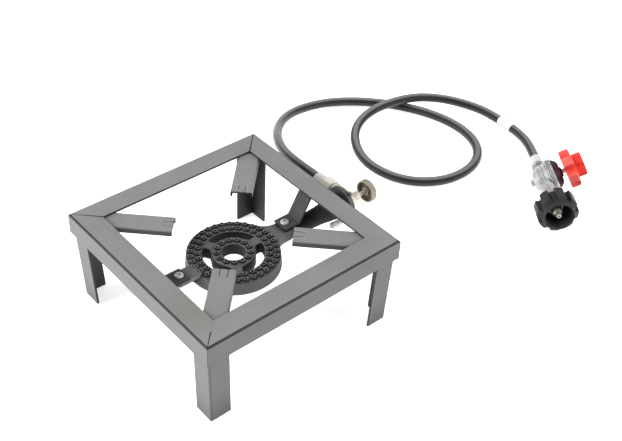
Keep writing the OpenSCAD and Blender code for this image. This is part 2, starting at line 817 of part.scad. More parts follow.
module burner() {
    color(iron)
    difference() {
        union() {
            difference() {
                union() {
                    translate([0, 0, burner_top]) {
                        rotate_extrude() casting_section(ring_in_r, ring_r, ring_draft);
                        rotate_extrude() casting_section(eye_r, hub_r, 0);
                        for (k = [0 : spokes - 1])
                            rotate(360 * k / spokes)
                                translate([0, 0, spoke_sink - ring_h])
                                    linear_extrude(ring_h - 2 * spoke_sink) spoke_plan();
                        translate([0, 0, -ring_h]) linear_extrude(ring_h) neck_plan();
                        mirror([1, 0, 0]) {
                            translate([0, 0, lug_top - ear_t])
                                linear_extrude(ear_t) ear_plan();
                            translate([0, rib_t / 2, 0]) rotate([90, 0, 0])
                                linear_extrude(rib_t)
                                    polygon([
                                        [ring_r - 2, lug_top - ear_t + eps],
                                        [lug_x - 7.5, lug_top - ear_t + eps],
                                        [ring_r, -ring_h], [ring_r - 2, -ring_h],
                                    ]);
                        }
                        at_jets()
                            translate([0, 0, -eps])
                                cylinder(
                                    r1 = nipple_r, r2 = nipple_tip_r,
                                    h = nipple_h + eps
                                );
                    }
                    tube_outside();
                }
                translate([0, 0, burner_top]) {
                    channel(ring_in_r, ring_r);
                    channel(eye_r, hub_r);
                    for (k = [0 : spokes - 1])
                        rotate(360 * k / spokes)
                            translate([hub_r - 4, side_wall - spoke_w / 2, channel_floor])
                                cube([
                                    ring_in_r - hub_r + 8, spoke_w - 2 * side_wall,
                                    channel_top - channel_floor - 1,
                                ]);
                }
                tube_inside();
                air_windows();
            }
            translate([lug_x, 0, burner_top - lug_depth])
                cylinder(r = lug_r, h = lug_depth + lug_top);
        }
        translate([lug_x, 0, strap_seat + strap_t - bolt_l - 1])
            cylinder(r = bolt_d / 2 + thread_clear, h = bolt_l + 2);
        translate([-lug_x, 0, burner_top + lug_top - ear_t - 1])
            cylinder(r = bolt_d / 2 + bolt_clear, h = ear_t + 2);
        translate([0, 0, burner_top + channel_top - 1])
            at_jets() cylinder(r = jet_r, h = top_wall + nipple_h + 2);
        on_tube(plate_back - 1) cylinder(r = nose_r + thread_clear, h = plate_t + 8);
        on_tube(plate_back - 1)
            at_screw() cylinder(r = screw_d / 2 + bolt_clear, h = plate_t + 2);
    }
}

// ---- Air shutter ----

// Moves its children from the tube's axis to the shutter screw's axis
module at_screw() rotate(-screw_angle) translate([screw_row_r, 0, 0]) children();

// Plan of a ring's slice between two radii, span degrees wide and centred on +x
module slice_plan(inner, outer, span) {
    reach = 2 * outer;
    intersection() {
        difference() {
            circle(outer);
            circle(inner);
        }
        polygon([
            [0, 0], [reach * cos(span / 2), -reach * sin(span / 2)],
            [reach, 0], [reach * cos(span / 2), reach * sin(span / 2)],
        ]);
    }
}

// Plan of the curved slot that clears the shutter screw over the shutter's whole turn
module slot_plan() {
    slot_w = screw_d + 2 * bolt_clear + 0.4;
    rotate(-screw_angle - shutter_turn / 2)
        slice_plan(screw_row_r - slot_w / 2, screw_row_r + slot_w / 2, shutter_turn);
    for (end = [0, shutter_turn])
        rotate(-screw_angle - end) translate([screw_row_r, 0]) circle(d = slot_w - 0.1);
}

module air_shutter() {
    color(shutter_grey)
    on_tube(shutter_face) union() {
        linear_extrude(shutter_t)
            difference() {
                union() {
                    circle(plate_r);
                    rotate(tab_angle)
                        translate([plate_r - 2, -tab_w / 2])
                            square([tab_reach + 2, tab_w]);
                }
                circle(spigot_r + spigot_clear);
                for (side = [0, 180])
                    rotate(side) slice_plan(window_in_r, window_out_r, window_span);
                slot_plan();
            }
        rotate(tab_angle)
            translate([plate_r + tab_reach - shutter_t, -tab_w / 2, shutter_t / 2])
                cube([shutter_t, tab_w, tab_fold + shutter_t / 2]);
    }
}

module shutter_screw() {
    shank = nut_face + shutter_nut_h + 1.5 - screw_head_x;
    color(zinc)
    on_tube(screw_head_x)
        at_screw()
            difference() {
                union() {
                    cylinder(d = screw_d, h = shank);
                    translate([0, 0, -screw_head_h])
                        cylinder(
                            d1 = screw_head_d * 0.8, d2 = screw_head_d,
                            h = screw_head_h + eps
                        );
                }
                translate([0, 0, -screw_head_h])
                    cube([screw_head_d + 2, 1, 1.8], center = true);
            }
}

module shutter_spring() {
    turns = 9;
    wire_r = shutter_wire_d / 2;
    color(zinc)
    on_tube(screw_head_x)
        at_screw() translate([0, 0, wire_r + 0.05])
            swept_bar(
                coil_path(spring_coil_r, shutter_spring_l - shutter_wire_d - 0.1, turns, 12),
                wire_r, 6
            );
}

module shutter_nut() {
    color(zinc)
    on_tube(nut_face)
        at_screw()
            difference() {
                hex_bar(shutter_nut_af, shutter_nut_h);
                translate([0, 0, -1])
                    cylinder(r = screw_d / 2 + thread_clear, h = shutter_nut_h + 2);
            }
}

// ---- Needle valve ----

module gas_orifice() {
    jet_tip = 6;
    shank = 5;
    color(brass)
    on_tube(nose_start)
        difference() {
            union() {
                cylinder(r = passage_r - thread_clear, h = shank);
                translate([0, 0, -jet_tip * 0.55])
                    cylinder(r = nose_r - 0.5, h = jet_tip * 0.55, $fn = 6);
                translate([0, 0, -jet_tip])
                    cylinder(r1 = 1.6, r2 = 2.6, h = jet_tip * 0.45 + eps);
            }
            translate([0, 0, -jet_tip - 1]) cylinder(r = 0.5, h = 4);
            translate([0, 0, -jet_tip + 2]) cylinder(r = 1.2, h = jet_tip + shank);
        }
}

module valve_body() {
    color(brass)
    difference() {
        union() {
            on_tube(nose_start) cylinder(r = nose_r, h = shoulder_x - nose_start + eps);
            on_tube(shoulder_x) hex_bar(shoulder_af, shoulder_l);
            on_tube(0)
                rotate_extrude()
                    polygon([
                        [0, shoulder_x + shoulder_l - eps],
                        [barrel_r - 1, shoulder_x + shoulder_l - eps],
                        [barrel_r, shoulder_x + shoulder_l + 1],
                        [barrel_r, barrel_end - 1.5], [barrel_r - 1.5, barrel_end],
                        [neck_r, barrel_end], [neck_r, neck_end - 0.6],
                        [neck_r - 0.6, neck_end], [0, neck_end],
                    ]);
            on_inlet(0) cylinder(r = barrel_front + 1.5, h = arm_hex_y + 1);
            on_inlet(arm_hex_y) rotate(30) hex_bar(arm_af, arm_hex_l);
            on_inlet(0)
                rotate_extrude()
                    polygon([
                        [0, arm_hex_y], [inlet_r, arm_hex_y], [inlet_r, collar_y],
                        [collar_r - 0.8, collar_y], [collar_r, collar_y + 0.8],
                        [collar_r, collar_y + collar_l - 0.8],
                        [collar_r - 0.8, collar_y + collar_l],
                        [inlet_r, collar_y + collar_l], [inlet_r, inlet_end - 3],
                        [passage_r + 1.5, inlet_end], [0, inlet_end],
                    ]);
        }
        on_tube(nose_start - 1) cylinder(r = passage_r, h = seat_x - nose_start - 1);
        on_tube(nose_start) cylinder(r = seat_r, h = barrel_end - nose_start);
        on_tube(seat_x) cylinder(r = chamber_r, h = barrel_end - seat_x);
        on_tube(seat_x) cylinder(r = stem_r + stem_clear, h = neck_end - seat_x + 1);
        on_inlet(0) cylinder(r = passage_r, h = inlet_end + 1);
    }
}

module packing_nut() {
    color(brass)
    on_tube(packing_x)
        difference() {
            hex_bar(packing_af, packing_l);
            translate([0, 0, -1])
                cylinder(r = neck_r + thread_clear, h = neck_end - packing_x + 1.2);
            translate([0, 0, -1]) cylinder(r = stem_r + stem_clear, h = packing_l + 2);
        }
}

module valve_stem() {
    color(brass)
    difference() {
        on_tube(0)
            rotate_extrude()
                polygon([
                    [0, needle_x], [0.4, needle_x], [stem_r, needle_x + needle_l],
                    [stem_r, stem_end], [0, stem_end],
                ]);
        on_tube(stem_end - 7) cylinder(r = knob_screw_r + thread_clear, h = 8);
    }
}

module valve_knob() {
    color(brass)
    on_tube(knob_x)
        difference() {
            rotate_extrude()
                polygon([
                    [knob_r - knob_t, 0], [knob_r - 0.5, 0], [knob_r, 0.5],
                    [knob_r, knob_depth - 1.2], [knob_r - 1.2, knob_depth],
                    [0, knob_depth], [0, knob_depth - knob_t - 5],
                    [knob_hub_r, knob_depth - knob_t - 5],
                    [knob_hub_r + 0.8, knob_depth - knob_t],
                    [knob_r - knob_t - 0.6, knob_depth - knob_t],
                    [knob_r - knob_t, knob_depth - knob_t - 0.6],
                ]);
            translate([0, 0, -1])
                cylinder(r = stem_r + stem_clear, h = stem_end - knob_x + 1.1);
            translate([0, 0, -1]) cylinder(r = knob_screw_r + bolt_clear, h = knob_depth + 2);
            for (k = [0 : flutes - 1])
                rotate(360 * k / flutes)
                    translate([knob_r + flute_r * 0.4, 0, 1])
                        cylinder(r = flute_r, h = knob_depth, $fn = 24);
        }
}

module knob_screw() {
    head_h = 1.6;
    color(zinc)
    on_tube(knob_face)
        difference() {
            union() {
                translate([0, 0, -8]) cylinder(r = knob_screw_r, h = 8 + eps);
                cylinder(r1 = 3, r2 = 2.2, h = head_h);
            }
            translate([0, 0, head_h]) cube([8, 0.8, 1.4], center = true);
        }
}

// ---- Hose ----

module swivel_nut() {
    color(brass)
    on_inlet(swivel_y)
        difference() {
            hex_bar(swivel_af, swivel_l);
            translate([0, 0, -1])
                cylinder(r = inlet_r + 0.35, h = swivel_l - swivel_back + 1);
            translate([0, 0, -1]) cylinder(r = tail_r + 0.08, h = swivel_l + 2);
        }
}

module valve_ferrule() {
    tail_start = inlet_end - 2.2;
    head_end = swivel_end - swivel_back - 0.4;
    color(die_cast)
    on_inlet(0)
        difference() {
            rotate_extrude()
                polygon([
                    [passage_r + 2.6, inlet_end + 0.2], [tail_head_r, inlet_end + 0.2],
                    [tail_head_r, head_end], [tail_r, head_end],
                    [tail_r, swivel_end + 0.3], [ferrule_r - 0.5, swivel_end + 0.3],
                    [ferrule_r, swivel_end + 0.8], [ferrule_r, swivel_end + 4],
                    [ferrule_r - 0.5, swivel_end + 4.6], [ferrule_r - 0.5, swivel_end + 6],
                    [ferrule_r, swivel_end + 6.6], [ferrule_r, ferrule_end - 6],
                    [ferrule_r - 0.5, ferrule_end - 5.4], [ferrule_r - 0.5, ferrule_end - 4],
                    [ferrule_r, ferrule_end - 3.4], [ferrule_r, ferrule_end - 0.5],
                    [ferrule_r - 0.5, ferrule_end], [0, ferrule_end],
                    [0, inlet_end + 0.2 + 0.4], [passage_r + 2.6, inlet_end + 0.2],
                ]);
            translate([0, 0, tail_start]) cylinder(r = passage_r, h = ferrule_end - tail_start - 1);
        }
}

module hose() {
    color(rubber) swept_bar(hose_route, hose_r, 12, [0, 1, 0], reg_way);
}

// A sleeve of blank label tape round a straight stretch of the hose
module hose_label() {
    from = hose_route[label_step];
    along = hose_route[label_step + 1] - from;
    pitch = acos(along.z / norm(along));
    turn = atan2(along.y, along.x);
    color("white")
    translate(from + along / 2)
        rotate([0, pitch, turn])
            difference() {
                cylinder(r = hose_r + label_t + 0.05, h = label_l, center = true);
                cylinder(r = hose_r + 0.05, h = label_l + 2, center = true);
            }
}

module regulator_ferrule() {
    color(die_cast)
    on_regulator(0)
        rotate_extrude()
            polygon([
                [0, 0], [ferrule_r - 0.5, 0], [ferrule_r, 0.5], [ferrule_r, 3.4],
                [ferrule_r - 0.5, 4], [ferrule_r - 0.5, 5.4], [ferrule_r, 6],
                [ferrule_r, 10], [ferrule_r - 0.5, 10.6], [ferrule_r - 0.5, 12],
                [ferrule_r, 12.6], [ferrule_r, ferrule_l - 0.5],
                [ferrule_r - 0.5, ferrule_l], [tail_r, ferrule_l], [tail_r, body_x],
                [0, body_x],
            ]);
}

// ---- Regulator ----

module regulator_body() {
    hex_l = 6;
    color(die_cast)
    difference() {
        union() {
            difference() {
                on_regulator(body_x) hex_bar(18, hex_l);
                on_bonnet(clamp_z - 0.3) cylinder(r = clamp_r + 0.6, h = 30);
            }
            difference() {
                on_regulator(0)
                    rotate_extrude()
                        polygon([
                            [0, body_x + hex_l - 1], [8, body_x + hex_l - 1],
                            [8, body_x + hex_l + 2], [11.5, bonnet_x - 5],
                            [12.5, bonnet_x + 6], [10, bonnet_x + 26],
                            [10, body_end - 8], [0, body_end - 8],
                        ]);
                on_bonnet(clamp_z - 0.3) cylinder(r = clamp_r + 0.6, h = 30);
            }
            on_regulator(body_end - 9) hex_bar(20, 9);
            on_bonnet(0)
                rotate_extrude()
                    polygon([
                        [0, cup_bottom], [9, cup_bottom], [13, cup_bottom + 2],
                        [16.5, -6], [18, 1], [18.6, clamp_z - 3], [rim_r, clamp_z - 0.6],
                        [rim_r, rim_z], [0, rim_z],
                    ]);
        }
        on_bonnet(0)
            rotate_extrude()
                polygon([[0, -8], [10, -8], [14, 1], [16, rim_z + 1], [0, rim_z + 1]]);
        on_bonnet(cup_bottom - 3) cylinder(r = 2.5 + thread_clear, h = 10);
        on_regulator(body_end - 12) cylinder(r = shank_r - 1 + thread_clear, h = 13);
        on_regulator(bonnet_x) cylinder(r = 2, h = body_end - bonnet_x);
        on_regulator(body_x + 4) cylinder(r = 2, h = bonnet_x - body_x - 4);
    }
}

module vent_plug() {
    color(brass)
    on_bonnet(cup_bottom)
        union() {
            cylinder(r = 2.5, h = 5);
            translate([0, 0, -4]) hex_bar(8, 4);
        }
}

module diaphragm() {
    color(rubber)
    on_bonnet(rim_z) cylinder(r = rim_r, h = diaphragm_t);
}

module diaphragm_plate() {
    color(zinc)
    on_bonnet(bonnet_z)
        union() {
            cylinder(r = 12, h = disc_h - 0.4);
            cylinder(r = 6, h = disc_h);
        }
}

module regulating_spring() {
    turns = 2.5;
    wire_r = spring_wire_d / 2;
    start = bonnet_z + disc_h - 0.4;
    length = button_top - button_h - start;
    color(zinc)
    on_bonnet(start + wire_r + 0.05)
        swept_bar(coil_path(8, length - spring_wire_d - 0.1, turns, 16), wire_r, 6);
}

module spring_button() {
    color(zinc)
    on_bonnet(button_top - button_h)
        union() {
            cylinder(r = 9.6, h = button_h);
            translate([0, 0, -1.6]) cylinder(r = 6.2, h = 1.7);
        }
}

module bonnet_ring() {
    low = clamp_z;
    high = clamp_z + clamp_h;
    inner = rim_r + 0.1;
    ridge = (high - low) / 3;
    color(die_cast)
    on_bonnet(0)
        rotate_extrude()
            polygon([
                [inner, low], [clamp_r - 0.4, low], [clamp_r, low + 0.5],
                [clamp_r, low + ridge], [clamp_r - 1, low + ridge + 0.6],
                [clamp_r - 1, low + 2 * ridge - 0.6], [clamp_r, low + 2 * ridge],
                [clamp_r, high - 0.6], [clamp_r - 0.6, high], [dome_r + 0.2, high],
                [dome_r + 0.2, flange_z + 0.05], [inner, flange_z + 0.05],
            ]);
}

module regulator_bonnet() {
    color(bonnet_dark)
    on_bonnet(0)
        difference() {
            rotate_extrude()
                polygon([
                    [0, bonnet_z], [rim_r, bonnet_z], [rim_r, flange_z],
                    [dome_r, flange_z], [dome_r, bonnet_z + dome_h * 0.44],
                    [dome_r * 0.95, bonnet_z + dome_h * 0.62],
                    [dome_r * 0.8, bonnet_z + dome_h * 0.87],
                    [dome_r * 0.62, dome_top], [bonnet_neck_r, dome_top],
                    [bonnet_neck_r, bonnet_end - 0.6], [bonnet_neck_r - 0.6, bonnet_end],
                    [0, bonnet_end],
                ]);
            rotate_extrude()
                polygon([
                    [0, bonnet_z - 1], [dome_r - bonnet_t, bonnet_z - 1],
                    [dome_r - bonnet_t, bonnet_z + dome_h * 0.44],
                    [dome_r * 0.78 - bonnet_t, dome_top - bonnet_t],
                    [0, dome_top - bonnet_t],
                ]);
            cylinder(r = adjuster_r + adjuster_clear, h = bonnet_end + 1);
        }
}

module adjusting_screw() {
    color(zinc)
    on_bonnet(button_top + 0.1)
        cylinder(r = adjuster_r, h = adjuster_end - button_top - 0.1);
}

module regulator_knob() {
    front = lobe_depth + front_depth;
    color(signal_red)
    on_bonnet(red_knob_z)
        difference() {
            union() {
                intersection() {
                    linear_extrude(lobe_depth) {
                        circle(waist_r);
                        for (k = [0 : lobes - 1])
                            rotate(360 * k / lobes)
                                translate([0, -lobe_w / 2]) square([lobe_r, lobe_w]);
                    }
                    rotate_extrude()
                        polygon([
                            [0, 0], [lobe_r - 0.8, 0], [lobe_r + 0.4, 1],
                            [lobe_r + 0.4, lobe_depth - 1.6],
                            [lobe_r - 1.6, lobe_depth], [0, lobe_depth],
                        ]);
                }
                rotate_extrude()
                    polygon([
                        [0, lobe_depth - 1], [front_r, lobe_depth - 1],
                        [front_r, front - 1], [front_r - 1, front], [0, front],
                    ]);
            }
            for (k = [0 : lobes - 1])
                rotate(360 * (k + 0.5) / lobes)
                    translate([front_r + 0.55 * hollow_r, 0, lobe_depth + 1])
                        cylinder(r = hollow_r, h = front_depth);
            translate([0, 0, -1])
                cylinder(r = adjuster_r + adjuster_clear, h = adjuster_end - red_knob_z + 1.1);
            translate([0, 0, front - 1.5]) cylinder(r = front_r - 5, h = 2);
        }
}

// ---- Gas nut ----

module inlet_nipple() {
    color(brass)
    on_regulator(0)
        difference() {
            rotate_extrude()
                polygon([
                    [0, body_end - 10], [shank_r - 1, body_end - 10],
                    [shank_r - 1, body_end], [shank_r, body_end], [shank_r, stop_x],
                    [stop_r, stop_x], [stop_r, stop_x + stop_t],
                    [nipple_barrel_r, stop_x + stop_t], [nipple_barrel_r, seal_x],
                    [nipple_barrel_r - seal_groove, seal_x],
                    [nipple_barrel_r - seal_groove, seal_x + seal_l],
                    [nipple_barrel_r, seal_x + seal_l], [nipple_barrel_r, tip_x - 9],
                    [nipple_barrel_r - 1.2, tip_x - 7.5], [gas_tip_r, tip_x - 6],
                    [gas_tip_r, tip_x - 0.6], [gas_tip_r - 0.6, tip_x], [0, tip_x],
                ]);
            translate([0, 0, body_end - 11]) cylinder(r = 1.6, h = tip_x - body_end + 12);
        }
}

module nipple_seal() {
    color(rubber)
    on_regulator(seal_x)
        rotate_extrude()
            polygon([
                [nipple_barrel_r - seal_groove, 0], [nipple_barrel_r + 1, 0],
                [nipple_barrel_r + 1.6, seal_l / 2], [nipple_barrel_r + 1, seal_l],
                [nipple_barrel_r - seal_groove, seal_l],
            ]);
}

module gas_nut() {
    core_r = grip_r - 4.6;
    grip_end = nut_x + grip_l;
    color(plastic_black)
    on_regulator(0)
        difference() {
            union() {
                rotate_extrude()
                    polygon([
                        [0, nut_x], [core_r - 1, nut_x], [core_r, nut_x + 1],
                        [core_r, grip_end], [mouth_r + 0.4, grip_end + 3],
                        [mouth_r, mouth_x - 1], [mouth_r - 0.8, mouth_x], [0, mouth_x],
                    ]);
                intersection() {
                    translate([0, 0, nut_x]) linear_extrude(grip_l + 4)
                        for (k = [0 : grips - 1])
                            rotate(360 * k / grips - 90)
                                translate([0, -grip_w / 2]) square([grip_r, grip_w]);
                    rotate_extrude()
                        polygon([
                            [0, nut_x], [grip_r - 0.6, nut_x], [grip_r, nut_x + 0.6],
                            [grip_r, grip_end - 1.5], [core_r - 0.5, grip_end + 2.4],
                            [0, grip_end + 2.4],
                        ]);
                }
            }
            translate([0, 0, nut_x + nut_back]) cylinder(r = nut_bore_r, h = nut_l);
            translate([0, 0, nut_x - 1]) cylinder(r = shank_r + shank_clear, h = nut_back + 2);
            translate([0, 0, mouth_x - 2])
                cylinder(r1 = nut_bore_r, r2 = nut_bore_r + 1.2, h = 2 + eps);
        }
}

frame_bar(0);  // frame_bar_left
frame_bar(90);  // frame_bar_front
frame_bar(180);  // frame_bar_right
frame_bar(270);  // frame_bar_back
leg(0);  // leg_back
leg(90);  // leg_left
leg(180);  // leg_front
leg(270);  // leg_right
pot_arm(45);  // pot_arm_back
pot_arm(135);  // pot_arm_left
pot_arm(225);  // pot_arm_front
pot_arm(315);  // pot_arm_right
strap_left();
strap_right();
strap_bolts();
strap_nut();
burner();
air_shutter();
shutter_screw();
shutter_spring();
shutter_nut();
gas_orifice();
valve_body();
packing_nut();
valve_stem();
valve_knob();
knob_screw();
swivel_nut();
valve_ferrule();
hose();
hose_label();
regulator_ferrule();
regulator_body();
vent_plug();
diaphragm();
diaphragm_plate();
regulating_spring();
spring_button();
bonnet_ring();
regulator_bonnet();
adjusting_screw();
regulator_knob();
inlet_nipple();
nipple_seal();
gas_nut();
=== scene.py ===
# %% [markdown]
# # A propane burner stand
# A square stand of welded steel angle carries a cast-iron ring burner. A brass needle
# valve, a hose and a regulator feed it from a gas cylinder. The solid parts come from a
# packed construction model, which is the fixed frame here. This lesson gives them their
# finishes, and adds the pieces that a solid model leaves plain: the hose's smooth curve,
# threads, springs, weld beads and moulded edges.
#
# Everything is in metres, with the floor at z = 0 and the gas inlet towards +X.

# %% Load the frame
import math

import bmesh
import bpy
import numpy as np
from mathutils import Matrix, Vector


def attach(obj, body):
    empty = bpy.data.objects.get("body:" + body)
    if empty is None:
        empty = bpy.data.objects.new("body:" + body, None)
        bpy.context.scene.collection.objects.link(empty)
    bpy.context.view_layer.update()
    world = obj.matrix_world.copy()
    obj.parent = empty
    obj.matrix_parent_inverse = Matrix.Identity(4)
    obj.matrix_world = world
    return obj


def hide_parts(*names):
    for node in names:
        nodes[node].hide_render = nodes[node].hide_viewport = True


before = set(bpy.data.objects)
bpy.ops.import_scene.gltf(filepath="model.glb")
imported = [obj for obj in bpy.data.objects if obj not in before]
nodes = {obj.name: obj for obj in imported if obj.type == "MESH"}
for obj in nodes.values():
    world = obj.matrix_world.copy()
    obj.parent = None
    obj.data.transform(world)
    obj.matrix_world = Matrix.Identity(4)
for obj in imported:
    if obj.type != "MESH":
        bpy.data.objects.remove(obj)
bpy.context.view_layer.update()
MM = 0.001

# %% [markdown]
# ## The camera
# The stand is seen from above its left front corner, with one corner nearest and the hose
# behind. The camera comes first, because a free hose must stay inside its view. Its turn
# is one rotation round one axis, which takes the world's directions to right, down and
# forward as the camera sees them. Blender's camera looks along its own -Z with +Y up, so
# down and forward change sign.

# %% Place the camera
def add_object(name, data):
    """Puts an object with this data in the scene, at the origin."""
    made = bpy.data.objects.new(name, data)
    bpy.context.scene.collection.objects.link(made)
    return made


SENSOR, FOCAL_SHARE = 36, 1019.3 / 622  # the focal length as a share of the view's width
turn_axis = Vector((2.158409, -0.774513, 0.416740))
to_picture = Matrix.Rotation(turn_axis.length, 3, turn_axis)
right, down, forward = to_picture[0], to_picture[1], to_picture[2]
camera = add_object("camera", bpy.data.cameras.new("camera"))
camera.data.sensor_width = SENSOR
camera.data.lens = FOCAL_SHARE * SENSOR
camera.data.clip_start, camera.data.clip_end = 0.05, 50
placed = Matrix((right, -down, -forward)).transposed().to_4x4()
placed.translation = Vector((-0.5020, -0.6734, 0.8164))
camera.matrix_world = placed
bpy.context.scene.camera = camera
print("camera looks down by", round(math.degrees(math.asin(-forward.z)), 1), "degrees")

# %% [markdown]
# ## Surfaces from grids
# Every new piece is a surface: a grid of points, where moving along a row goes round the
# piece and moving down a column goes along it. Numpy works the points out all at once,
# and the mesh takes them as one block, which is much faster than adding points one by
# one. Doubles are merged afterwards, which also closes the poles.

# %% Turn a grid of points into a piece
def surface(name, grid, rides_on, finish, around=True, sharp=40):
    """One face for each cell of a grid of points, rows by columns, or of each grid in a
    stack of equal grids. With around, the last column meets the first. The UV map gives
    the share of the way round, and the row's distance along the piece in metres. Edges
    that turn more than sharp degrees stay crisp."""
    grids = np.asarray(grid, float).reshape(-1, *grid.shape[-3:])
    count, rows, columns = grids.shape[:3]
    first = (np.arange(count) * rows * columns)[:, None, None]
    row = np.arange(rows - 1)[None, :, None]
    column = np.arange(columns if around else columns - 1)[None, None, :]
    after = (column + 1) % columns
    cells = np.stack(
        [row * columns + column, row * columns + after,
         (row + 1) * columns + after, (row + 1) * columns + column], -1) + first[..., None]
    steps = np.linalg.norm(np.diff(grids[0].mean(1), axis=0), axis=1)
    along = np.concatenate([[0], np.cumsum(steps)])
    share = column / columns + 0 * row + 0 * first
    low, high = along[row] + 0 * share, along[row + 1] + 0 * share
    uv = np.stack([share, low, share + 1 / columns, low,
                   share + 1 / columns, high, share, high], -1)
    mesh = bpy.data.meshes.new(name)
    mesh.vertices.add(count * rows * columns)
    mesh.vertices.foreach_set("co", grids.astype(np.float32).ravel())
    mesh.loops.add(cells.size)
    mesh.loops.foreach_set("vertex_index", cells.ravel().astype(np.int32))
    mesh.polygons.add(cells.size // 4)
    mesh.polygons.foreach_set("loop_start", np.arange(0, cells.size, 4, dtype=np.int32))
    mesh.update(calc_edges=True)
    mesh.uv_layers.new(name="UVMap").uv.foreach_set("vector", uv.astype(np.float32).ravel())
    return finish_piece(name, mesh, rides_on, finish, sharp)


def finish_piece(name, mesh, rides_on, finish, sharp):
    """Merges doubles, turns the faces outwards, shades them smooth up to the sharp angle,
    and puts the piece on its body with its finish."""
    work = bmesh.new()
    work.from_mesh(mesh)
    bmesh.ops.remove_doubles(work, verts=work.verts, dist=1e-6)
    bmesh.ops.recalc_face_normals(work, faces=work.faces)
    work.to_mesh(mesh)
    work.free()
    mesh.polygons.foreach_set("use_smooth", np.ones(len(mesh.polygons), bool))
    mesh.set_sharp_from_angle(angle=math.radians(sharp))
    piece = add_object(name, mesh)
    mesh.materials.append(finish)
    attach(piece, rides_on)
    print(name, len(mesh.polygons), "faces")
    return piece


# %% [markdown]
# ## Shader building blocks
# A finish is a small network of nodes. Short helpers keep each network readable: they add
# a node with its values and links, a sum, a ramp or a peak. An effect that several
# finishes share becomes a group with named inputs and outputs, made once.

# %% Add nodes, sums and groups
def add_node(tree, kind, inputs=None, **settings):
    """Adds one node. An input is a plain value, or another node's output to link."""
    made = tree.nodes.new(kind)
    for setting, value in settings.items():
        setattr(made, setting, value)
    for socket, value in (inputs or {}).items():
        target = made.inputs[socket]
        if isinstance(value, bpy.types.NodeSocket):
            tree.links.new(value, target)
        else:
            target.default_value = value
    return made


def sum_of(tree, operation, *values, clamp=False):
    """The result of one Math node."""
    node = add_node(tree, "ShaderNodeMath", dict(enumerate(values)), operation=operation)
    node.use_clamp = clamp
    return node.outputs[0]


def xyz_of(tree, kind, output):
    """X, Y and Z of an input node's output, such as a place or the way a face looks."""
    source = add_node(tree, kind).outputs[output]
    return add_node(tree, "ShaderNodeSeparateXYZ", {0: source}).outputs


def ramp(tree, high, low, gain):
    """The share, from 0 to 1, that grows by gain for each unit that high is above low."""
    return sum_of(tree, "MULTIPLY", sum_of(tree, "SUBTRACT", high, low), gain, clamp=True)


def peak(tree, value, middle, reach):
    """A share that is 1 where a value is at the middle, and 0 from reach away on."""
    off = sum_of(tree, "ABSOLUTE", sum_of(tree, "SUBTRACT", value, middle))
    return sum_of(tree, "SUBTRACT", 1.0, sum_of(tree, "DIVIDE", off, reach), clamp=True)


def new_group(name, inputs, outputs):
    """An empty node group with named float inputs and their usual values, and outputs."""
    group = bpy.data.node_groups.new(name, "ShaderNodeTree")
    for label, value in inputs.items():
        socket = group.interface.new_socket(label, in_out="INPUT", socket_type="NodeSocketFloat")
        socket.default_value = value
    for label, kind in outputs.items():
        group.interface.new_socket(label, in_out="OUTPUT", socket_type=kind)
    given = group.nodes.new("NodeGroupInput").outputs
    result = group.nodes.new("NodeGroupOutput").inputs
    print("group", name, "gives", ", ".join(outputs))
    return group, given, result


FLOAT, VECTOR = "NodeSocketFloat", "NodeSocketVector"

# %% [markdown]
# ### Worn edges
# Handling rubs paint and plating thin on corners, and no real corner is a perfect
# knife. The Bevel node gives the normal that a rounded corner would have. Where it
# differs from the true normal there is an edge, and noise breaks the wear up.

# %% Group: worn edges
worn_edges, given, result = new_group(
    "worn_edges", {"Width": 0.0006, "Amount": 0.5, "Patches": 120.0},
    {"Edge": FLOAT, "Normal": VECTOR})
rounded = add_node(worn_edges, "ShaderNodeBevel", {"Radius": given["Width"]}, samples=4)
true_side = add_node(worn_edges, "ShaderNodeNewGeometry")
agree = add_node(worn_edges, "ShaderNodeVectorMath",
                 {0: rounded.outputs[0], 1: true_side.outputs["True Normal"]},
                 operation="DOT_PRODUCT")
tilt = sum_of(worn_edges, "SUBTRACT", 1.0, agree.outputs["Value"])
place = add_node(worn_edges, "ShaderNodeTexCoord").outputs["Object"]
patches = add_node(worn_edges, "ShaderNodeTexNoise",
                   {"Vector": place, "Scale": given["Patches"], "Detail": 4.0})
strong = sum_of(worn_edges, "MULTIPLY", tilt, 14.0, clamp=True)
broken = sum_of(worn_edges, "MULTIPLY_ADD", patches.outputs["Fac"], 2.6, -0.85, clamp=True)
worn = sum_of(worn_edges, "MULTIPLY", strong, broken)
worn_edges.links.new(sum_of(worn_edges, "MULTIPLY", worn, given["Amount"]), result["Edge"])
worn_edges.links.new(rounded.outputs[0], result["Normal"])

# %% [markdown]
# ### Grain
# Sprayed paint, sand castings and moulded plastic all have a fine uneven skin. Two
# noises give it: a fine one for the skin itself, and a broad one for slow changes in
# colour and shine over a hand's width.

# %% Group: surface grain
surface_grain, given, result = new_group(
    "surface_grain", {"Fine Scale": 900.0, "Broad Scale": 14.0, "Sharpness": 0.55},
    {"Fine": FLOAT, "Broad": FLOAT})
place = add_node(surface_grain, "ShaderNodeTexCoord").outputs["Object"]
for label, scale, detail in (("Fine", "Fine Scale", 5.0), ("Broad", "Broad Scale", 3.0)):
    noise = add_node(surface_grain, "ShaderNodeTexNoise",
                     {"Vector": place, "Scale": given[scale], "Detail": detail,
                      "Roughness": given["Sharpness"]})
    surface_grain.links.new(noise.outputs["Fac"], result[label])
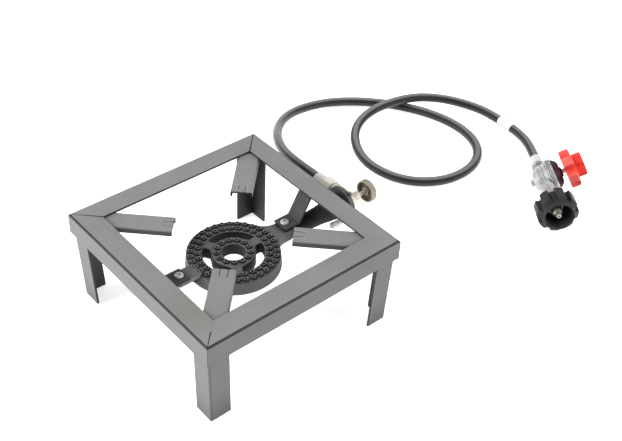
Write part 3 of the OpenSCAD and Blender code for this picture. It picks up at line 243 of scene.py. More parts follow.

# %% [markdown]
# ### Dust and painted top light
# Dust and powder settle where a surface faces up, thinly and in patches. On the hose and
# the burner the same share is painted light: it makes the faces that look up paler.

# %% Group: dust and painted top light
top_dust_and_light, given, result = new_group("top_dust_and_light", {"Amount": 0.15}, {"Dust": FLOAT})
place = add_node(top_dust_and_light, "ShaderNodeTexCoord").outputs["Object"]
upward = xyz_of(top_dust_and_light, "ShaderNodeNewGeometry", "True Normal")["Z"]
clouds = add_node(top_dust_and_light, "ShaderNodeTexNoise",
                  {"Vector": place, "Scale": 38.0, "Detail": 6.0, "Roughness": 0.65})
lying = sum_of(top_dust_and_light, "MULTIPLY", upward, clouds.outputs["Fac"], clamp=True)
top_dust_and_light.links.new(sum_of(top_dust_and_light, "MULTIPLY", lying, given["Amount"]), result["Dust"])


# %% [markdown]
# ### Marks and painted light on the stand
# The frame's corners are mitred and welded from below, so on top each joint shows as a
# fine dark line. The outer bend, the sawn inner edges, the arms' skirts and the faces that
# look inwards get painted shade, and a painted highlight lies beside the slits in the arms'
# tips. All of these lie along straight lines, so two distances place them: across a
# diagonal of the stand, and out from the middle along it.

# %% Group: stand marks and painted shade, and where a point lies
stand_marks_and_shade, given, result = new_group(
    "stand_marks_and_shade", {"Seam Width": 0.0005},
    {"Seams and Shade": FLOAT, "Slit Highlight": FLOAT, "Streaks": FLOAT, "Warm": FLOAT})
x, y, z = xyz_of(stand_marks_and_shade, "ShaderNodeTexCoord", "Object")
true_side = xyz_of(stand_marks_and_shade, "ShaderNodeNewGeometry", "True Normal")


def mark(operation, *values, clamp=False):
    return sum_of(stand_marks_and_shade, operation, *values, clamp=clamp)


def both(first, *others):
    """One where all the shares are one."""
    for share in others:
        first = mark("MULTIPLY", first, share)
    return first


def above(value, low):
    return mark("GREATER_THAN", value, low)


def below(value, high):
    return mark("LESS_THAN", value, high)


SLANT = 0.7071  # turns a step along two sides into a distance along the diagonal
wide, narrow = (mark(way, mark("ABSOLUTE", x), mark("ABSOLUTE", y))
                for way in ("MAXIMUM", "MINIMUM"))
across = mark("MULTIPLY", mark("SUBTRACT", wide, narrow), SLANT)
outward = mark("MULTIPLY", mark("ADD", wide, narrow), SLANT)
on_top = above(true_side["Z"], 0.9)
upright = below(mark("ABSOLUTE", true_side["Z"]), 0.2)
print("nodes that place a mark:", len(stand_marks_and_shade.nodes))

# %% [markdown]
# The dark marks: the mitres' open seams, which widen towards the corner, and painted shade
# on the outer bend, the sawn inner edges, the arms' skirts, the faces that look inwards and
# the low parts inside the frame.

# %% Dark seams, and painted shade on bends and inner sides
TOP_FACE, FLANGE_UNDER, CORNER = 0.1138, 0.1124, 0.1796
seam_width = mark("MULTIPLY_ADD", mark("SUBTRACT", CORNER, outward), 0.012, given["Seam Width"])
open_seam = mark("MAXIMUM", above(y, 0.0), both(below(x, 0.0), above(wide, 0.1110)))
seam = both(ramp(stand_marks_and_shade, seam_width, across, 4500.0), open_seam,
            both(on_top, above(z, TOP_FACE)))
inwards = mark("ADD", mark("MULTIPLY", true_side["X"], x), mark("MULTIPLY", true_side["Y"], y))
# The seams are real joints; every other dark share below is painted shade.
seams_and_shade = seam
for depth, shares in (
        (0.92, (above(z, 0.1131), below(z, 0.1149), above(wide, 0.1240))),
        (0.75, (upright, above(across, 0.0125), below(wide, 0.1006), above(z, FLANGE_UNDER))),
        (0.72, (upright, below(across, 0.0130), above(z, 0.1050), below(z, FLANGE_UNDER),
                below(wide, 0.1200))),
        (0.92, (below(inwards, -0.02), upright)),
        (0.95, (below(wide, 0.0990), below(z, 0.1066)))):
    seams_and_shade = mark("MAXIMUM", seams_and_shade, mark("MULTIPLY", both(*shares), depth))
stand_marks_and_shade.links.new(seams_and_shade, result["Seams and Shade"])
print("nodes with the dark marks:", len(stand_marks_and_shade.nodes))

# %% [markdown]
# The light marks: a painted highlight beside the arms' slits, the faint lines that drawing
# leaves along each bar, and a warmer tone in the paint of the left bar's near half.

# %% Painted highlights by the slits, drawn lines and a warm patch
SLIT, HIGHLIGHT_FROM, HIGHLIGHT_TO, ARM_TOP = 0.0051, 0.0660, 0.0790, 0.1130
slit_highlight = mark("SUBTRACT", 1.0, mark("MULTIPLY", mark(
    "ABSOLUTE", mark("SUBTRACT", across, SLIT)), 1400.0), clamp=True)
slit_highlight_share = both(slit_highlight, on_top, above(outward, HIGHLIGHT_FROM), below(outward, HIGHLIGHT_TO),
            above(mark("ADD", x, y), -0.06), below(z, ARM_TOP))
stand_marks_and_shade.links.new(slit_highlight_share, result["Slit Highlight"])
FINE, LONG = 420.0, 9.0  # the lines are fine across the bar and long along it
lengthways = add_node(stand_marks_and_shade, "ShaderNodeCombineXYZ", {
    0: mark("MULTIPLY", wide, FINE), 1: mark("MULTIPLY", z, FINE),
    2: mark("MULTIPLY", narrow, LONG)})
drawn_out = add_node(stand_marks_and_shade, "ShaderNodeTexNoise",
                     {"Vector": lengthways.outputs[0], "Scale": 1.0, "Detail": 3.0})
stand_marks_and_shade.links.new(mark("MULTIPLY_ADD", drawn_out.outputs["Fac"], 2.2, -0.6, clamp=True),
                      result["Streaks"])
warm = both(peak(stand_marks_and_shade, y, -0.075, 0.045), both(on_top, below(x, -0.0990)))
stand_marks_and_shade.links.new(warm, result["Warm"])
print("nodes with all the stand's marks:", len(stand_marks_and_shade.nodes))

# %% [markdown]
# ### Painted shade round the jets
# The dip round each jet and its hole get painted shade, and heat and wire brushing leave
# its rim bare. The jets stand in three round rows, so the distance to the nearest one
# follows from the distance to the middle of the burner and the angle: the angle is cut
# into one slice for each jet, and measured from the slice's middle.

# %% Group: distance to a row's nearest jet
jet_distance, given, result = new_group(
    "jet_distance", {"Jets": 34.0, "Row Radius": 0.0474}, {"Distance": FLOAT})
place = xyz_of(jet_distance, "ShaderNodeTexCoord", "Object")


def measured(*formula):
    return sum_of(jet_distance, *formula)


turn = measured("DIVIDE", measured("ARCTAN2", place["Y"], place["X"]), 2 * math.pi)
slice_share = measured(
    "SUBTRACT", measured("FRACT", measured("MULTIPLY", turn, given["Jets"])), 0.5)
sideways = measured("MULTIPLY", measured("DIVIDE", slice_share, given["Jets"]), 2 * math.pi)
middle = measured("SQRT", measured(
    "ADD", measured("POWER", place["X"], 2.0), measured("POWER", place["Y"], 2.0)))
beyond = measured("SUBTRACT", middle, given["Row Radius"])
sideways = measured("MULTIPLY", sideways, middle)
nearest_jet = measured("SQRT", measured(
    "ADD", measured("MULTIPLY", beyond, beyond), measured("MULTIPLY", sideways, sideways)))
jet_distance.links.new(nearest_jet, result["Distance"])

# %% [markdown]
# ### One recipe for solid finishes
# Paint, iron, brass and plastic differ in colour, shine and skin, but are built the same
# way: base colour mottled by broad noise, paler or barer edges, dust and painted top light
# on top, painted shade in the corners, roughness that follows the mottling, and a bump
# from the fine grain.

# %% The common recipe
def place_group(tree, group, **values):
    """Puts a group in a material. Keywords are its inputs, with _ for a space."""
    node = tree.nodes.new("ShaderNodeGroup")
    node.node_tree = group
    for label, value in values.items():
        node.inputs[label.replace("_", " ")].default_value = value
    return node.outputs


def blend(tree, share, first, second):
    """Mixes two colours by a share from 0 to 1."""
    mix = add_node(tree, "ShaderNodeMix", data_type="RGBA")
    for socket, value in ((0, share), (6, first), (7, second)):
        if isinstance(value, bpy.types.NodeSocket):
            tree.links.new(value, mix.inputs[socket])
        else:
            mix.inputs[socket].default_value = value if socket == 0 else (*value, 1)
    return mix.outputs[2]


def new_finish(name, plain, mottled, edge, roughness, metal=0.0, edge_width=0.0006,
               wear=0.5, grain_scale=900.0, grain_depth=0.00004, uneven=0.12, dust=0.1,
               dust_and_top_light_colour=(0.55, 0.54, 0.52), dust_and_top_light_dulls=1.0, corner_shade=0.0,
               corner_shade_reach=0.004, broad_scale=14.0, marks=None, **settings):
    """A finish by the common recipe. plain and mottled are its two colours, which change
    places slowly, the faster the larger broad_scale is. edge is the colour where it is
    worn. dust is the share of dust, and of painted top light, on faces that
    look up, and dust_and_top_light_dulls how much it takes the shine away. corner_shade is
    how dark its corners go as painted shade, within corner_shade_reach of them. marks is a
    function that adds marks of its own, and settings are other shader sockets."""
    finish = bpy.data.materials.new(name)
    finish.use_nodes = True
    tree = finish.node_tree
    shader = tree.nodes["Principled BSDF"]
    edges = place_group(tree, worn_edges, Width=edge_width, Amount=wear)
    grain = place_group(tree, surface_grain, Fine_Scale=grain_scale, Broad_Scale=broad_scale)
    dust_and_top_light_share = place_group(tree, top_dust_and_light, Amount=dust)
    spread = sum_of(tree, "MULTIPLY_ADD", grain["Broad"], 2.4, -0.7, clamp=True)
    colour = blend(tree, spread, plain, mottled)
    colour = blend(tree, edges["Edge"], colour, edge)
    colour = blend(tree, dust_and_top_light_share["Dust"], colour, dust_and_top_light_colour)
    if marks:
        colour = marks(tree, colour)
    # Painted shade: corners and recesses go darker, the more closed in they are.
    if corner_shade:
        closed_in = add_node(tree, "ShaderNodeAmbientOcclusion",
                             {"Distance": corner_shade_reach}, samples=8)
        depth = sum_of(tree, "SUBTRACT", 1.0, closed_in.outputs["AO"])
        depth = sum_of(tree, "MULTIPLY", depth, 1.6 * corner_shade, clamp=True)
        colour = blend(tree, depth, colour, tuple(0.15 * value for value in plain))
    tree.links.new(colour, shader.inputs["Base Color"])
    shine = sum_of(tree, "MULTIPLY_ADD", grain["Broad"], uneven, roughness - uneven / 2)
    tree.links.new(sum_of(tree, "MULTIPLY_ADD", dust_and_top_light_share["Dust"], dust_and_top_light_dulls, shine, clamp=True),
                   shader.inputs["Roughness"])
    bump = add_node(tree, "ShaderNodeBump",
                    {"Height": grain["Fine"], "Distance": grain_depth, "Strength": 1.0,
                     "Normal": edges["Normal"]})
    tree.links.new(bump.outputs[0], shader.inputs["Normal"])
    shader.inputs["Metallic"].default_value = metal
    for socket, value in settings.items():
        shader.inputs[socket.replace("_", " ")].default_value = value
    print("finish", name, "has", len(tree.nodes), "nodes")
    return finish


# %% [markdown]
# ## The finishes
# The stand is sprayed in a satin grey. The burner is raw cast iron under a thin coat of
# stove black, and its two straps are oiled steel. The valve parts are plated brass, and
# screws and springs are bright zinc plate.

# %% Stand, straps and burner
def marks_and_shade_of_the_stand(tree, colour):
    shares = place_group(tree, stand_marks_and_shade)
    colour = blend(tree, sum_of(tree, "MULTIPLY", shares["Streaks"], 0.35), colour,
                   (0.235, 0.237, 0.240))
    colour = blend(tree, sum_of(tree, "MULTIPLY", shares["Warm"], 0.8), colour,
                   (0.172, 0.172, 0.150))
    # A painted highlight beside the arms' slits.
    colour = blend(tree, shares["Slit Highlight"], colour, (0.34, 0.34, 0.34))
    # Dark seams, and painted shade on the bends, edges and inner sides.
    return blend(tree, shares["Seams and Shade"], colour, (0.020, 0.020, 0.020))


def marks_light_and_shade_of_the_burner(tree, colour):
    """Painted shade in the dips round the jets and in their holes, and pale bare rims, by the
    distance to the nearest jet of the three rows. The mixing tube and the inner walls are
    darkened as painted shade, and the ring's outer wall and the tube's end plate, in a grey
    like the shutter's, are paler as painted light."""
    tube_start, plate_start, ring_outside = 0.066, 0.140, 0.0505
    dip_radius, dip_reach, dip_floor = 0.0031, 0.0012, 0.0798
    rim_radius, rim_reach, rim_floor = 0.0021, 0.0006, 0.0813
    hole_radius, hole_floor = 0.0016, 0.0775
    shade_black, wall_shade, hole_shade = (0.006,) * 3, (0.012,) * 3, (0.004,) * 3
    plate_light, outer_wall_light, bare_rim = (0.112, 0.114, 0.117), (0.29, 0.292, 0.295), (0.25,) * 3

    def share_of(first, second):
        return sum_of(tree, "MULTIPLY", first, second)

    nearest = None
    for jets, row_radius in jet_rows:
        found = place_group(tree, jet_distance, Jets=jets, Row_Radius=row_radius)["Distance"]
        nearest = found if nearest is None else sum_of(tree, "MINIMUM", nearest, found)
    dip_shade = peak(tree, nearest, dip_radius, dip_reach)
    rim = peak(tree, nearest, rim_radius, rim_reach)
    place = xyz_of(tree, "ShaderNodeTexCoord", "Object")
    above_dips, above_rims, above_holes = (
        sum_of(tree, "GREATER_THAN", place["Z"], height)
        for height in (dip_floor, rim_floor, hole_floor))
    on_tube = ramp(tree, place["X"], tube_start, 60.0)
    # Painted shade: the mixing tube is darkened to near black. Painted light: its end plate is a
    # lighter grey.
    colour = blend(tree, share_of(on_tube, 0.92), colour, shade_black)
    colour = blend(tree, ramp(tree, place["X"], plate_start, 250.0), colour, plate_light)
    facing_up = xyz_of(tree, "ShaderNodeNewGeometry", "True Normal")["Z"]
    wall = sum_of(tree, "SUBTRACT", 1.0, share_of(sum_of(tree, "ABSOLUTE", facing_up), 1.6),
                  clamp=True)
    wall = share_of(wall, sum_of(tree, "SUBTRACT", 1.0, on_tube))
    flat_place = add_node(tree, "ShaderNodeCombineXYZ", {0: place["X"], 1: place["Y"]})
    from_middle = add_node(tree, "ShaderNodeVectorMath", {0: flat_place.outputs[0]},
                           operation="LENGTH").outputs["Value"]
    outside = sum_of(tree, "GREATER_THAN", from_middle, ring_outside)
    # Painted shade on the burner's walls, and painted light that makes the ring's outer wall
    # paler.
    colour = blend(tree, share_of(wall, 0.85), colour, wall_shade)
    colour = blend(tree, share_of(wall, outside), colour, outer_wall_light)
    # Painted shade in the dips round the jets; the bare rims are real wear.
    colour = blend(tree, share_of(dip_shade, above_dips), colour, shade_black)
    colour = blend(tree, share_of(share_of(rim, above_rims), 0.7), colour, bare_rim)
    # Painted shade in the jets' holes.
    in_hole = ramp(tree, hole_radius, nearest, 4000.0)
    return blend(tree, share_of(in_hole, above_holes), colour, hole_shade)


jet_rows = [(34, 0.0474), (28, 0.0392), (13, 0.0186)]
stand_paint = new_finish(
    "stand_paint", (0.158, 0.160, 0.162), (0.184, 0.185, 0.187), (0.34, 0.34, 0.34),
    roughness=0.42, wear=0.35, edge_width=0.0007, grain_scale=700.0, grain_depth=0.00003,
    dust=0.06, corner_shade=0.5, corner_shade_reach=0.045, marks=marks_and_shade_of_the_stand)
strap_steel = new_finish(
    "strap_steel", (0.030, 0.031, 0.033), (0.046, 0.047, 0.049), (0.16, 0.16, 0.16),
    roughness=0.50, wear=0.5, grain_scale=500.0, grain_depth=0.00005, dust=0.08, corner_shade=0.5,
    corner_shade_reach=0.012, Specular_IOR_Level=0.35)
# The pale share on the burner's faces that look up is partly dust and partly painted top light.
cast_iron = new_finish(
    "cast_iron", (0.046, 0.047, 0.049), (0.076, 0.077, 0.079), (0.24, 0.24, 0.24),
    roughness=0.50, wear=0.6, edge_width=0.0008, grain_scale=420.0, grain_depth=0.00022,
    dust=0.75, dust_and_top_light_colour=(0.20, 0.20, 0.20), dust_and_top_light_dulls=0.3, corner_shade=0.9,
    corner_shade_reach=0.012, marks=marks_light_and_shade_of_the_burner, Specular_IOR_Level=0.3)
shutter_steel = new_finish(
    "shutter_steel", (0.125, 0.127, 0.130), (0.155, 0.157, 0.160), (0.30, 0.30, 0.30),
    roughness=0.45, wear=0.4, edge_width=0.0004, grain_scale=600.0, grain_depth=0.00003)

# %% [markdown]
# Screws and springs have bright zinc plate, the valve is brass under a thin pale plating,
# and the regulator is a zinc die casting. None is a perfect mirror, so each is part metal,
# with fine grain, and its corners and grooves are darkened as painted shade.

# %% Plated and cast metals
zinc_plate = new_finish(
    "zinc_plate", (0.90, 0.90, 0.91), (0.78, 0.79, 0.80), (0.95, 0.95, 0.95),
    roughness=0.34, metal=0.6, edge_width=0.0003, wear=0.6, grain_scale=1500.0,
    grain_depth=0.00001, dust=0.03, corner_shade=0.5, corner_shade_reach=0.0015)
bright_wire = new_finish(
    "bright_wire", (0.96, 0.96, 0.96), (0.90, 0.90, 0.91), (0.98, 0.98, 0.98),
    roughness=0.38, metal=0.35, edge_width=0.0002, wear=0.3, grain_scale=1500.0,
    grain_depth=0.00001, dust=0.02)
plated_brass = new_finish(
    "plated_brass", (0.93, 0.88, 0.76), (0.84, 0.78, 0.64), (0.96, 0.93, 0.85),
    roughness=0.34, metal=0.6, edge_width=0.0004, wear=0.6, grain_scale=1300.0,
    grain_depth=0.000012, dust=0.03, corner_shade=0.5, corner_shade_reach=0.002)
nut_plate = new_finish(
    "nut_plate", (0.96, 0.92, 0.82), (0.88, 0.83, 0.71), (0.98, 0.96, 0.90),
    roughness=0.42, metal=0.25, edge_width=0.0004, wear=0.6, grain_scale=1300.0,
    grain_depth=0.000012, dust=0.03, corner_shade=0.3, corner_shade_reach=0.002)
crimped_aluminium = new_finish(
    "crimped_aluminium", (0.93, 0.93, 0.93), (0.84, 0.84, 0.85), (0.97, 0.97, 0.97),
    roughness=0.40, metal=0.35, edge_width=0.0004, wear=0.4, grain_scale=1100.0,
    grain_depth=0.00002, dust=0.03, corner_shade=0.4, corner_shade_reach=0.002)
# Painted shade: the knob's brass is a darker copy, so its dish reads as shaded.
shaded_knob_brass = new_finish(
    "shaded_knob_brass", (0.52, 0.47, 0.37), (0.38, 0.33, 0.25), (0.97, 0.94, 0.86),
    roughness=0.42, metal=0.6, edge_width=0.0011, wear=1.0, grain_scale=900.0,
    grain_depth=0.00003, dust=0.05, corner_shade=0.8, corner_shade_reach=0.006)
die_cast_zinc = new_finish(
    "die_cast_zinc", (0.95, 0.96, 0.97), (0.56, 0.57, 0.59), (0.98, 0.98, 0.98),
    roughness=0.24, metal=0.64, edge_width=0.0005, wear=0.5, grain_scale=700.0,
    grain_depth=0.00004, dust=0.04, corner_shade=0.9, broad_scale=95.0)
bonnet_enamel = new_finish(
    "bonnet_enamel", (0.032, 0.020, 0.029), (0.050, 0.034, 0.047), (0.20, 0.17, 0.19),
    roughness=0.52, edge_width=0.0005, wear=0.4, grain_scale=500.0, grain_depth=0.00002,
    dust=0.03, Specular_IOR_Level=0.35)

# %% [markdown]
# The hose is glossy black rubber. A pale band is painted along its top as a painted
# highlight, so it is paler along its top and stays black below. The red knob's lobes are
# painted paler as painted light on their thin plastic, and the cylinder nut and its flutes
# are plain black plastic with rubbed edges.

# %% Rubber, plastics and the blank label
def painted_highlight_on_the_hose(tree, colour):
    """A painted highlight: a pale band where the surface faces up, by the height of its normal.
    """
    facing_up = xyz_of(tree, "ShaderNodeNewGeometry", "True Normal")["Z"]
    return blend(tree, ramp(tree, facing_up, 0.76, 5.5), colour, (0.165, 0.165, 0.168))


# The hose's pale top, from the painted band and its pale upward share, is a painted highlight.
hose_rubber = new_finish(
    "hose_rubber", (0.010, 0.010, 0.011), (0.018, 0.018, 0.019), (0.05, 0.05, 0.05),
    roughness=0.30, edge_width=0.0002, wear=0.1, grain_scale=1100.0, grain_depth=0.00003,
    dust=0.15, dust_and_top_light_colour=(0.115, 0.115, 0.119), dust_and_top_light_dulls=0.05, Coat_Weight=0.5,
    Coat_Roughness=0.22, marks=painted_highlight_on_the_hose)


def painted_light_on_the_red_knob(tree, colour):
    """Painted light: the lobes are painted paler than the front, where light falls on their
    thin plastic. The share falls with the distance along the knob's axis, from its back."""
    place = add_node(tree, "ShaderNodeTexCoord").outputs["Object"]
    from_back = add_node(tree, "ShaderNodeVectorMath", {0: place, 1: tuple(red_knob_back)},
                         operation="SUBTRACT").outputs["Vector"]
    depth = add_node(tree, "ShaderNodeVectorMath", {0: from_back, 1: tuple(bonnet_way)},
                     operation="DOT_PRODUCT").outputs["Value"]
    sideways = add_node(tree, "ShaderNodeVectorMath", {0: from_back},
                        operation="LENGTH").outputs["Value"]
    hub_radius, lobe_height = 0.016, 0.015
    far = ramp(tree, sideways, hub_radius, 110.0)
    thin = ramp(tree, lobe_height, depth, 400.0)
    share = sum_of(tree, "MULTIPLY", sum_of(tree, "MULTIPLY", far, thin), 0.75)
    return blend(tree, share, colour, (0.84, 0.150, 0.125))


reg_tilt, reg_azimuth, bonnet_slope = (math.radians(angle) for angle in (3.6, -128, 28 - 90))
to_regulator = np.array(Matrix.Rotation(reg_azimuth, 3, "Z")
                        @ Matrix.Rotation(-reg_tilt, 3, "Y"))
to_bonnet = to_regulator @ np.array(Matrix.Rotation(bonnet_slope, 3, "X"))
reg_origin = np.array([474.4, -44.1, 20.5]) * MM
nut_way, bonnet_way = to_regulator[:, 0], to_bonnet[:, 2]
bonnet_origin = reg_origin + 48.5 * MM * nut_way
red_knob_back = bonnet_origin + 29.5 * MM * bonnet_way
red_plastic = new_finish(
    "red_plastic", (0.80, 0.022, 0.016), (0.86, 0.038, 0.028), (0.93, 0.24, 0.20),
    roughness=0.38, edge_width=0.0009, wear=0.6, grain_scale=500.0, grain_depth=0.00003,
    dust=0.02, Subsurface_Weight=0.25, Subsurface_Scale=0.004, marks=painted_light_on_the_red_knob)
black_plastic = new_finish(
    "black_plastic", (0.012, 0.012, 0.013), (0.022, 0.022, 0.024), (0.11, 0.11, 0.11),
    roughness=0.36, edge_width=0.0007, wear=0.6, grain_scale=800.0, grain_depth=0.00005,
    dust=0.06, corner_shade=0.5, corner_shade_reach=0.006)
label_vinyl = new_finish(
    "label_vinyl", (0.80, 0.80, 0.79), (0.70, 0.70, 0.69), (0.92, 0.92, 0.91),
    roughness=0.38, edge_width=0.0002, wear=0.3, grain_scale=900.0, grain_depth=0.00001,
    dust=0.05)

# %% [markdown]
# The construction model names a slot for each solid. One table turns slot names into
# finishes. A few solids are named after: the knob, whose darker brass is painted shade,
# and parts that are plated or crimped in their own way.

# %% Give every node of the frame its finish
finish_of_slot = {
    "stand_paint": stand_paint, "strap_steel": strap_steel, "zinc_plate": zinc_plate,
    "cast_iron": cast_iron, "shutter_steel": shutter_steel, "brass": plated_brass,
    "black_rubber": hose_rubber, "label_white": label_vinyl, "die_cast": die_cast_zinc,
    "bonnet_paint": bonnet_enamel, "red_plastic": red_plastic,
    "black_plastic": black_plastic,
}
for node_name, solid in nodes.items():
    for slot in solid.material_slots:
        kind = slot.material.name.split(".")[0]
        slot.material = finish_of_slot[kind]
for node_name, finish in (("valve_knob", shaded_knob_brass), ("swivel_nut", nut_plate),
                          ("valve_ferrule", crimped_aluminium),
                          ("regulator_ferrule", crimped_aluminium)):
    for slot in nodes[node_name].material_slots:
        slot.material = finish

# %% [markdown]
# ## The hose
# A half-inch rubber gas hose, about 1.2 m from ferrule to ferrule. It leaves the valve
# level, drops to the floor in one wide sweep, turns back, climbs over itself in a long
# low hump and rises a little to the regulator. Its middle line is a cubic B-spline: every
# point is a weighted mean of four neighbours, so the line has no kinks and never leaves
# the space that its guide points span.

# %% The hose's guide points and its smooth middle line
hose_points = np.array([
    [170.2, 56.3, 69.5], [171, 94, 68], [177, 124, 63], [189, 152, 56], [206, 178, 48],
    [226, 201, 39], [248, 220, 32], [275, 236, 24], [303, 245, 17], [335, 246, 12],
    [364, 239, 9], [391, 224, 7], [415, 202, 6.5], [435, 177, 6.5], [450, 150, 6.5],
    [461, 120, 6.5], [465, 89, 6.5], [461, 58, 6.5], [447, 31, 6.5], [422, 12, 6.5],
    [392, 5, 6.5], [361, 8, 6.5], [333, 22, 6.5], [312, 45, 6.5], [302, 74, 6.5],
    [301, 105, 6.5], [311, 135, 9], [330, 160, 13], [356, 174, 17], [387, 178, 20],
    [418, 174, 21], [449, 166, 21], [478, 154, 16], [502, 136, 11], [518, 112, 8],
    [525, 88, 7], [524, 62, 7.5], [518, 28, 10.7], [502, -8, 17.2],
    [474.4, -44.1, 20.5]]) * MM
hose_radius = 6.25 * MM


def smooth_line(points, way_out, way_in, samples=12):
    """Cubic B-spline through a row of guide points. Its ends touch the first and last
    point, with an extra guide point near each so that it leaves straight."""
    lead = 0.008
    points = np.concatenate([
        [points[0], points[0] + lead * way_out], points[1:-1],
        [points[-1] - lead * way_in, points[-1]]])
    points = np.concatenate([
        [2 * points[0] - points[1]], points, [2 * points[-1] - points[-2]]])
    t = np.linspace(0, 1, samples, endpoint=False)[:, None]
    weights = [(1 - t) ** 3, 3 * t**3 - 6 * t**2 + 4, -3 * t**3 + 3 * t**2 + 3 * t + 1, t**3]
    spans = [points[i:len(points) - 3 + i, None] for i in range(4)]
    line = sum(w[None] * p for w, p in zip(weights, spans)) / 6
    return np.concatenate([line.reshape(-1, 3), points[-2:-1]])


def even_line(line, step):
    """The same line with its points a step apart."""
    gone = np.concatenate([[0], np.cumsum(np.linalg.norm(np.diff(line, axis=0), axis=1))])
    marks = np.linspace(0, gone[-1], round(gone[-1] / step) + 1)
    return np.stack([np.interp(marks, gone, line[:, i]) for i in range(3)], 1), gone[-1]


hose_line, hose_length = even_line(
    smooth_line(hose_points, np.array([0, 1, 0]), nut_way), 3.5 * MM)
print("hose length", round(hose_length, 3), "m,", len(hose_line), "points")

# %% [markdown]
# A real hose is pressed out round, so its surface is one circle carried along the middle
# line. At each point the circle stands square to the line. Two directions span it: across,
# which stays level, and over, which stays as upright as the line allows.

# %% Carry a round profile along the line
def directions(line, over_hint=(0, 0.02, 1)):
    """Unit directions along, across and over a line that never runs along over_hint."""
    ahead = np.gradient(line, axis=0)
    ahead /= np.linalg.norm(ahead, axis=1)[:, None]
    across = np.cross(ahead, over_hint)
    across /= np.linalg.norm(across, axis=1)[:, None]
    return ahead, across, np.cross(across, ahead)


def tube(line, radius, sides, over_hint=(0, 0.02, 1)):
    """Rings round a line. radius is one value, or an array of rows by sides."""
    angle = np.linspace(0, 2 * np.pi, sides, endpoint=False)[None, :, None]
    ahead, across, over = directions(line, over_hint)
    spokes = np.cos(angle) * across[:, None] + np.sin(angle) * over[:, None]
    return line[:, None] + np.broadcast_to(radius, (len(line), sides))[..., None] * spokes


hose_rings = tube(hose_line, hose_radius, 28)
first_cap = np.broadcast_to(hose_line[0], (1, 28, 3))
last_cap = np.broadcast_to(hose_line[-1], (1, 28, 3))
hose = surface("gas_hose", np.concatenate([first_cap, hose_rings, last_cap]),
               "stand", hose_rubber)
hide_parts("hose")

# %% [markdown]
# The blank label is a strip of white vinyl wrapped once round the hose. It follows the
# hose's curve, and its end laps over its start, which shows as a small step along it.

# %% Wrap the label round the hose
label_middle = (hose_points[36] + hose_points[37]) / 2
nearest = int(np.argmin(np.linalg.norm(hose_line - label_middle, axis=1)))
label_rows = hose_line[nearest - 4:nearest + 5]
lap = np.linspace(0, 1, 40, endpoint=False)
proud = (0.25 + 0.3 * np.clip(1 - np.abs(lap - 0.3) * 9, 0, 1)) * MM
outside = tube(label_rows, hose_radius + proud[None, :], 40)
under = tube(label_rows, hose_radius - 0.3 * MM, 40)
label = surface("blank_label", np.concatenate([under[:1], outside, under[-1:]]),
                "stand", label_vinyl, sharp=30)
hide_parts("hose_label")

# %% [markdown]
# ## The jets of the burner
# Each jet is a small cast crater: a fillet at its foot, a cone, a rounded lip, and a
# hollow down to the drilled hole. The construction model has only the cone, so a skin
# with the whole profile goes over it. Every point is a profile's radius turned round the
# jet's middle, and the middles stand in three rows.

# %% Turn one profile round every jet
jet_profile = np.array([
    [3.9, -0.05], [3.55, 0.12], [3.25, 0.6], [2.95, 1.35], [2.70, 1.95], [2.45, 2.25],
    [2.15, 2.33], [1.85, 2.2], [1.5, 1.85], [1.25, 1.5], [1.15, 0.8], [1.10, -2.0]]) * MM
burner_top = 80 * MM
jet_turn = np.linspace(0, 2 * np.pi, 24, endpoint=False)
jet_middles = np.concatenate([
    radius * np.stack([np.cos(spread), np.sin(spread)], 1)
    for count, radius in jet_rows
    for spread in [2 * np.pi * (np.arange(count) + 0.5) / count]])
jet_skins = np.empty((len(jet_middles), len(jet_profile), len(jet_turn), 3))
for axis, wave in enumerate((np.cos(jet_turn), np.sin(jet_turn))):
    jet_skins[..., axis] = (jet_middles[:, axis, None, None]
                            + jet_profile[None, :, 0, None] * wave[None, None, :])
jet_skins[..., 2] = burner_top + jet_profile[None, :, 1, None]
jets = surface("jet_craters", jet_skins, "stand", cast_iron, sharp=60)

# %% [markdown]
# ## Turned parts and threads
# Ferrules, rings, springs and threads all follow a circle round some axis, so they share
# three recipes. A turned part is a profile of radii and heights carried round an axis,
# and its radius may change with the angle. A thread is a turned part whose radius rises
# and falls with height, one full wave for each pitch, while the wave climbs one pitch in
# each turn. A spring is a tube round a helix, which is a circle that climbs steadily.

# %% Recipes for turned parts, threads and springs
regulator_axes = to_regulator[:, [1, 2, 0]]
tube_axes = np.array([[0, 0, 1], [1, 0, 0], [0, 1, 0]], float)
inlet_axes = np.array([[1, 0, 0], [0, 0, 1], [0, -1, 0]], float)
tube_line = np.array([0, 0, 69.5]) * MM
inlet_line = np.array([170.2, 0, 69.5]) * MM


def turned(origin, axes, radii, heights, sides=64):
    """Grid of points round an axis. axes holds local x, y and the axis as columns.
    radii and heights are in millimetres, one for each row, or rows by sides."""
    angle = np.linspace(0, 2 * np.pi, sides, endpoint=False)[None, :]
    radii, heights = (np.asarray(v, float).reshape(len(v), -1) for v in (radii, heights))
    local = np.stack(np.broadcast_arrays(
        radii * np.cos(angle), radii * np.sin(angle), heights), -1)
    return origin + local * MM @ axes.T


def thread_grid(origin, axes, radius, depth, pitch, low, high, sides=48, steps=8):
    """A screw thread between two heights. It runs out to a plain bar at both ends."""
    heights = np.linspace(low, high, round((high - low) / pitch * steps) + 1)
    angle = np.linspace(0, 1, sides, endpoint=False)[None, :]
    wave = np.abs(((heights[:, None] / pitch - angle) % 1) * 2 - 1)
    fade = np.clip(np.minimum(heights - low, high - heights) / pitch, 0, 1)[:, None]
    return turned(origin, axes, radius - depth * wave * fade, heights, sides)


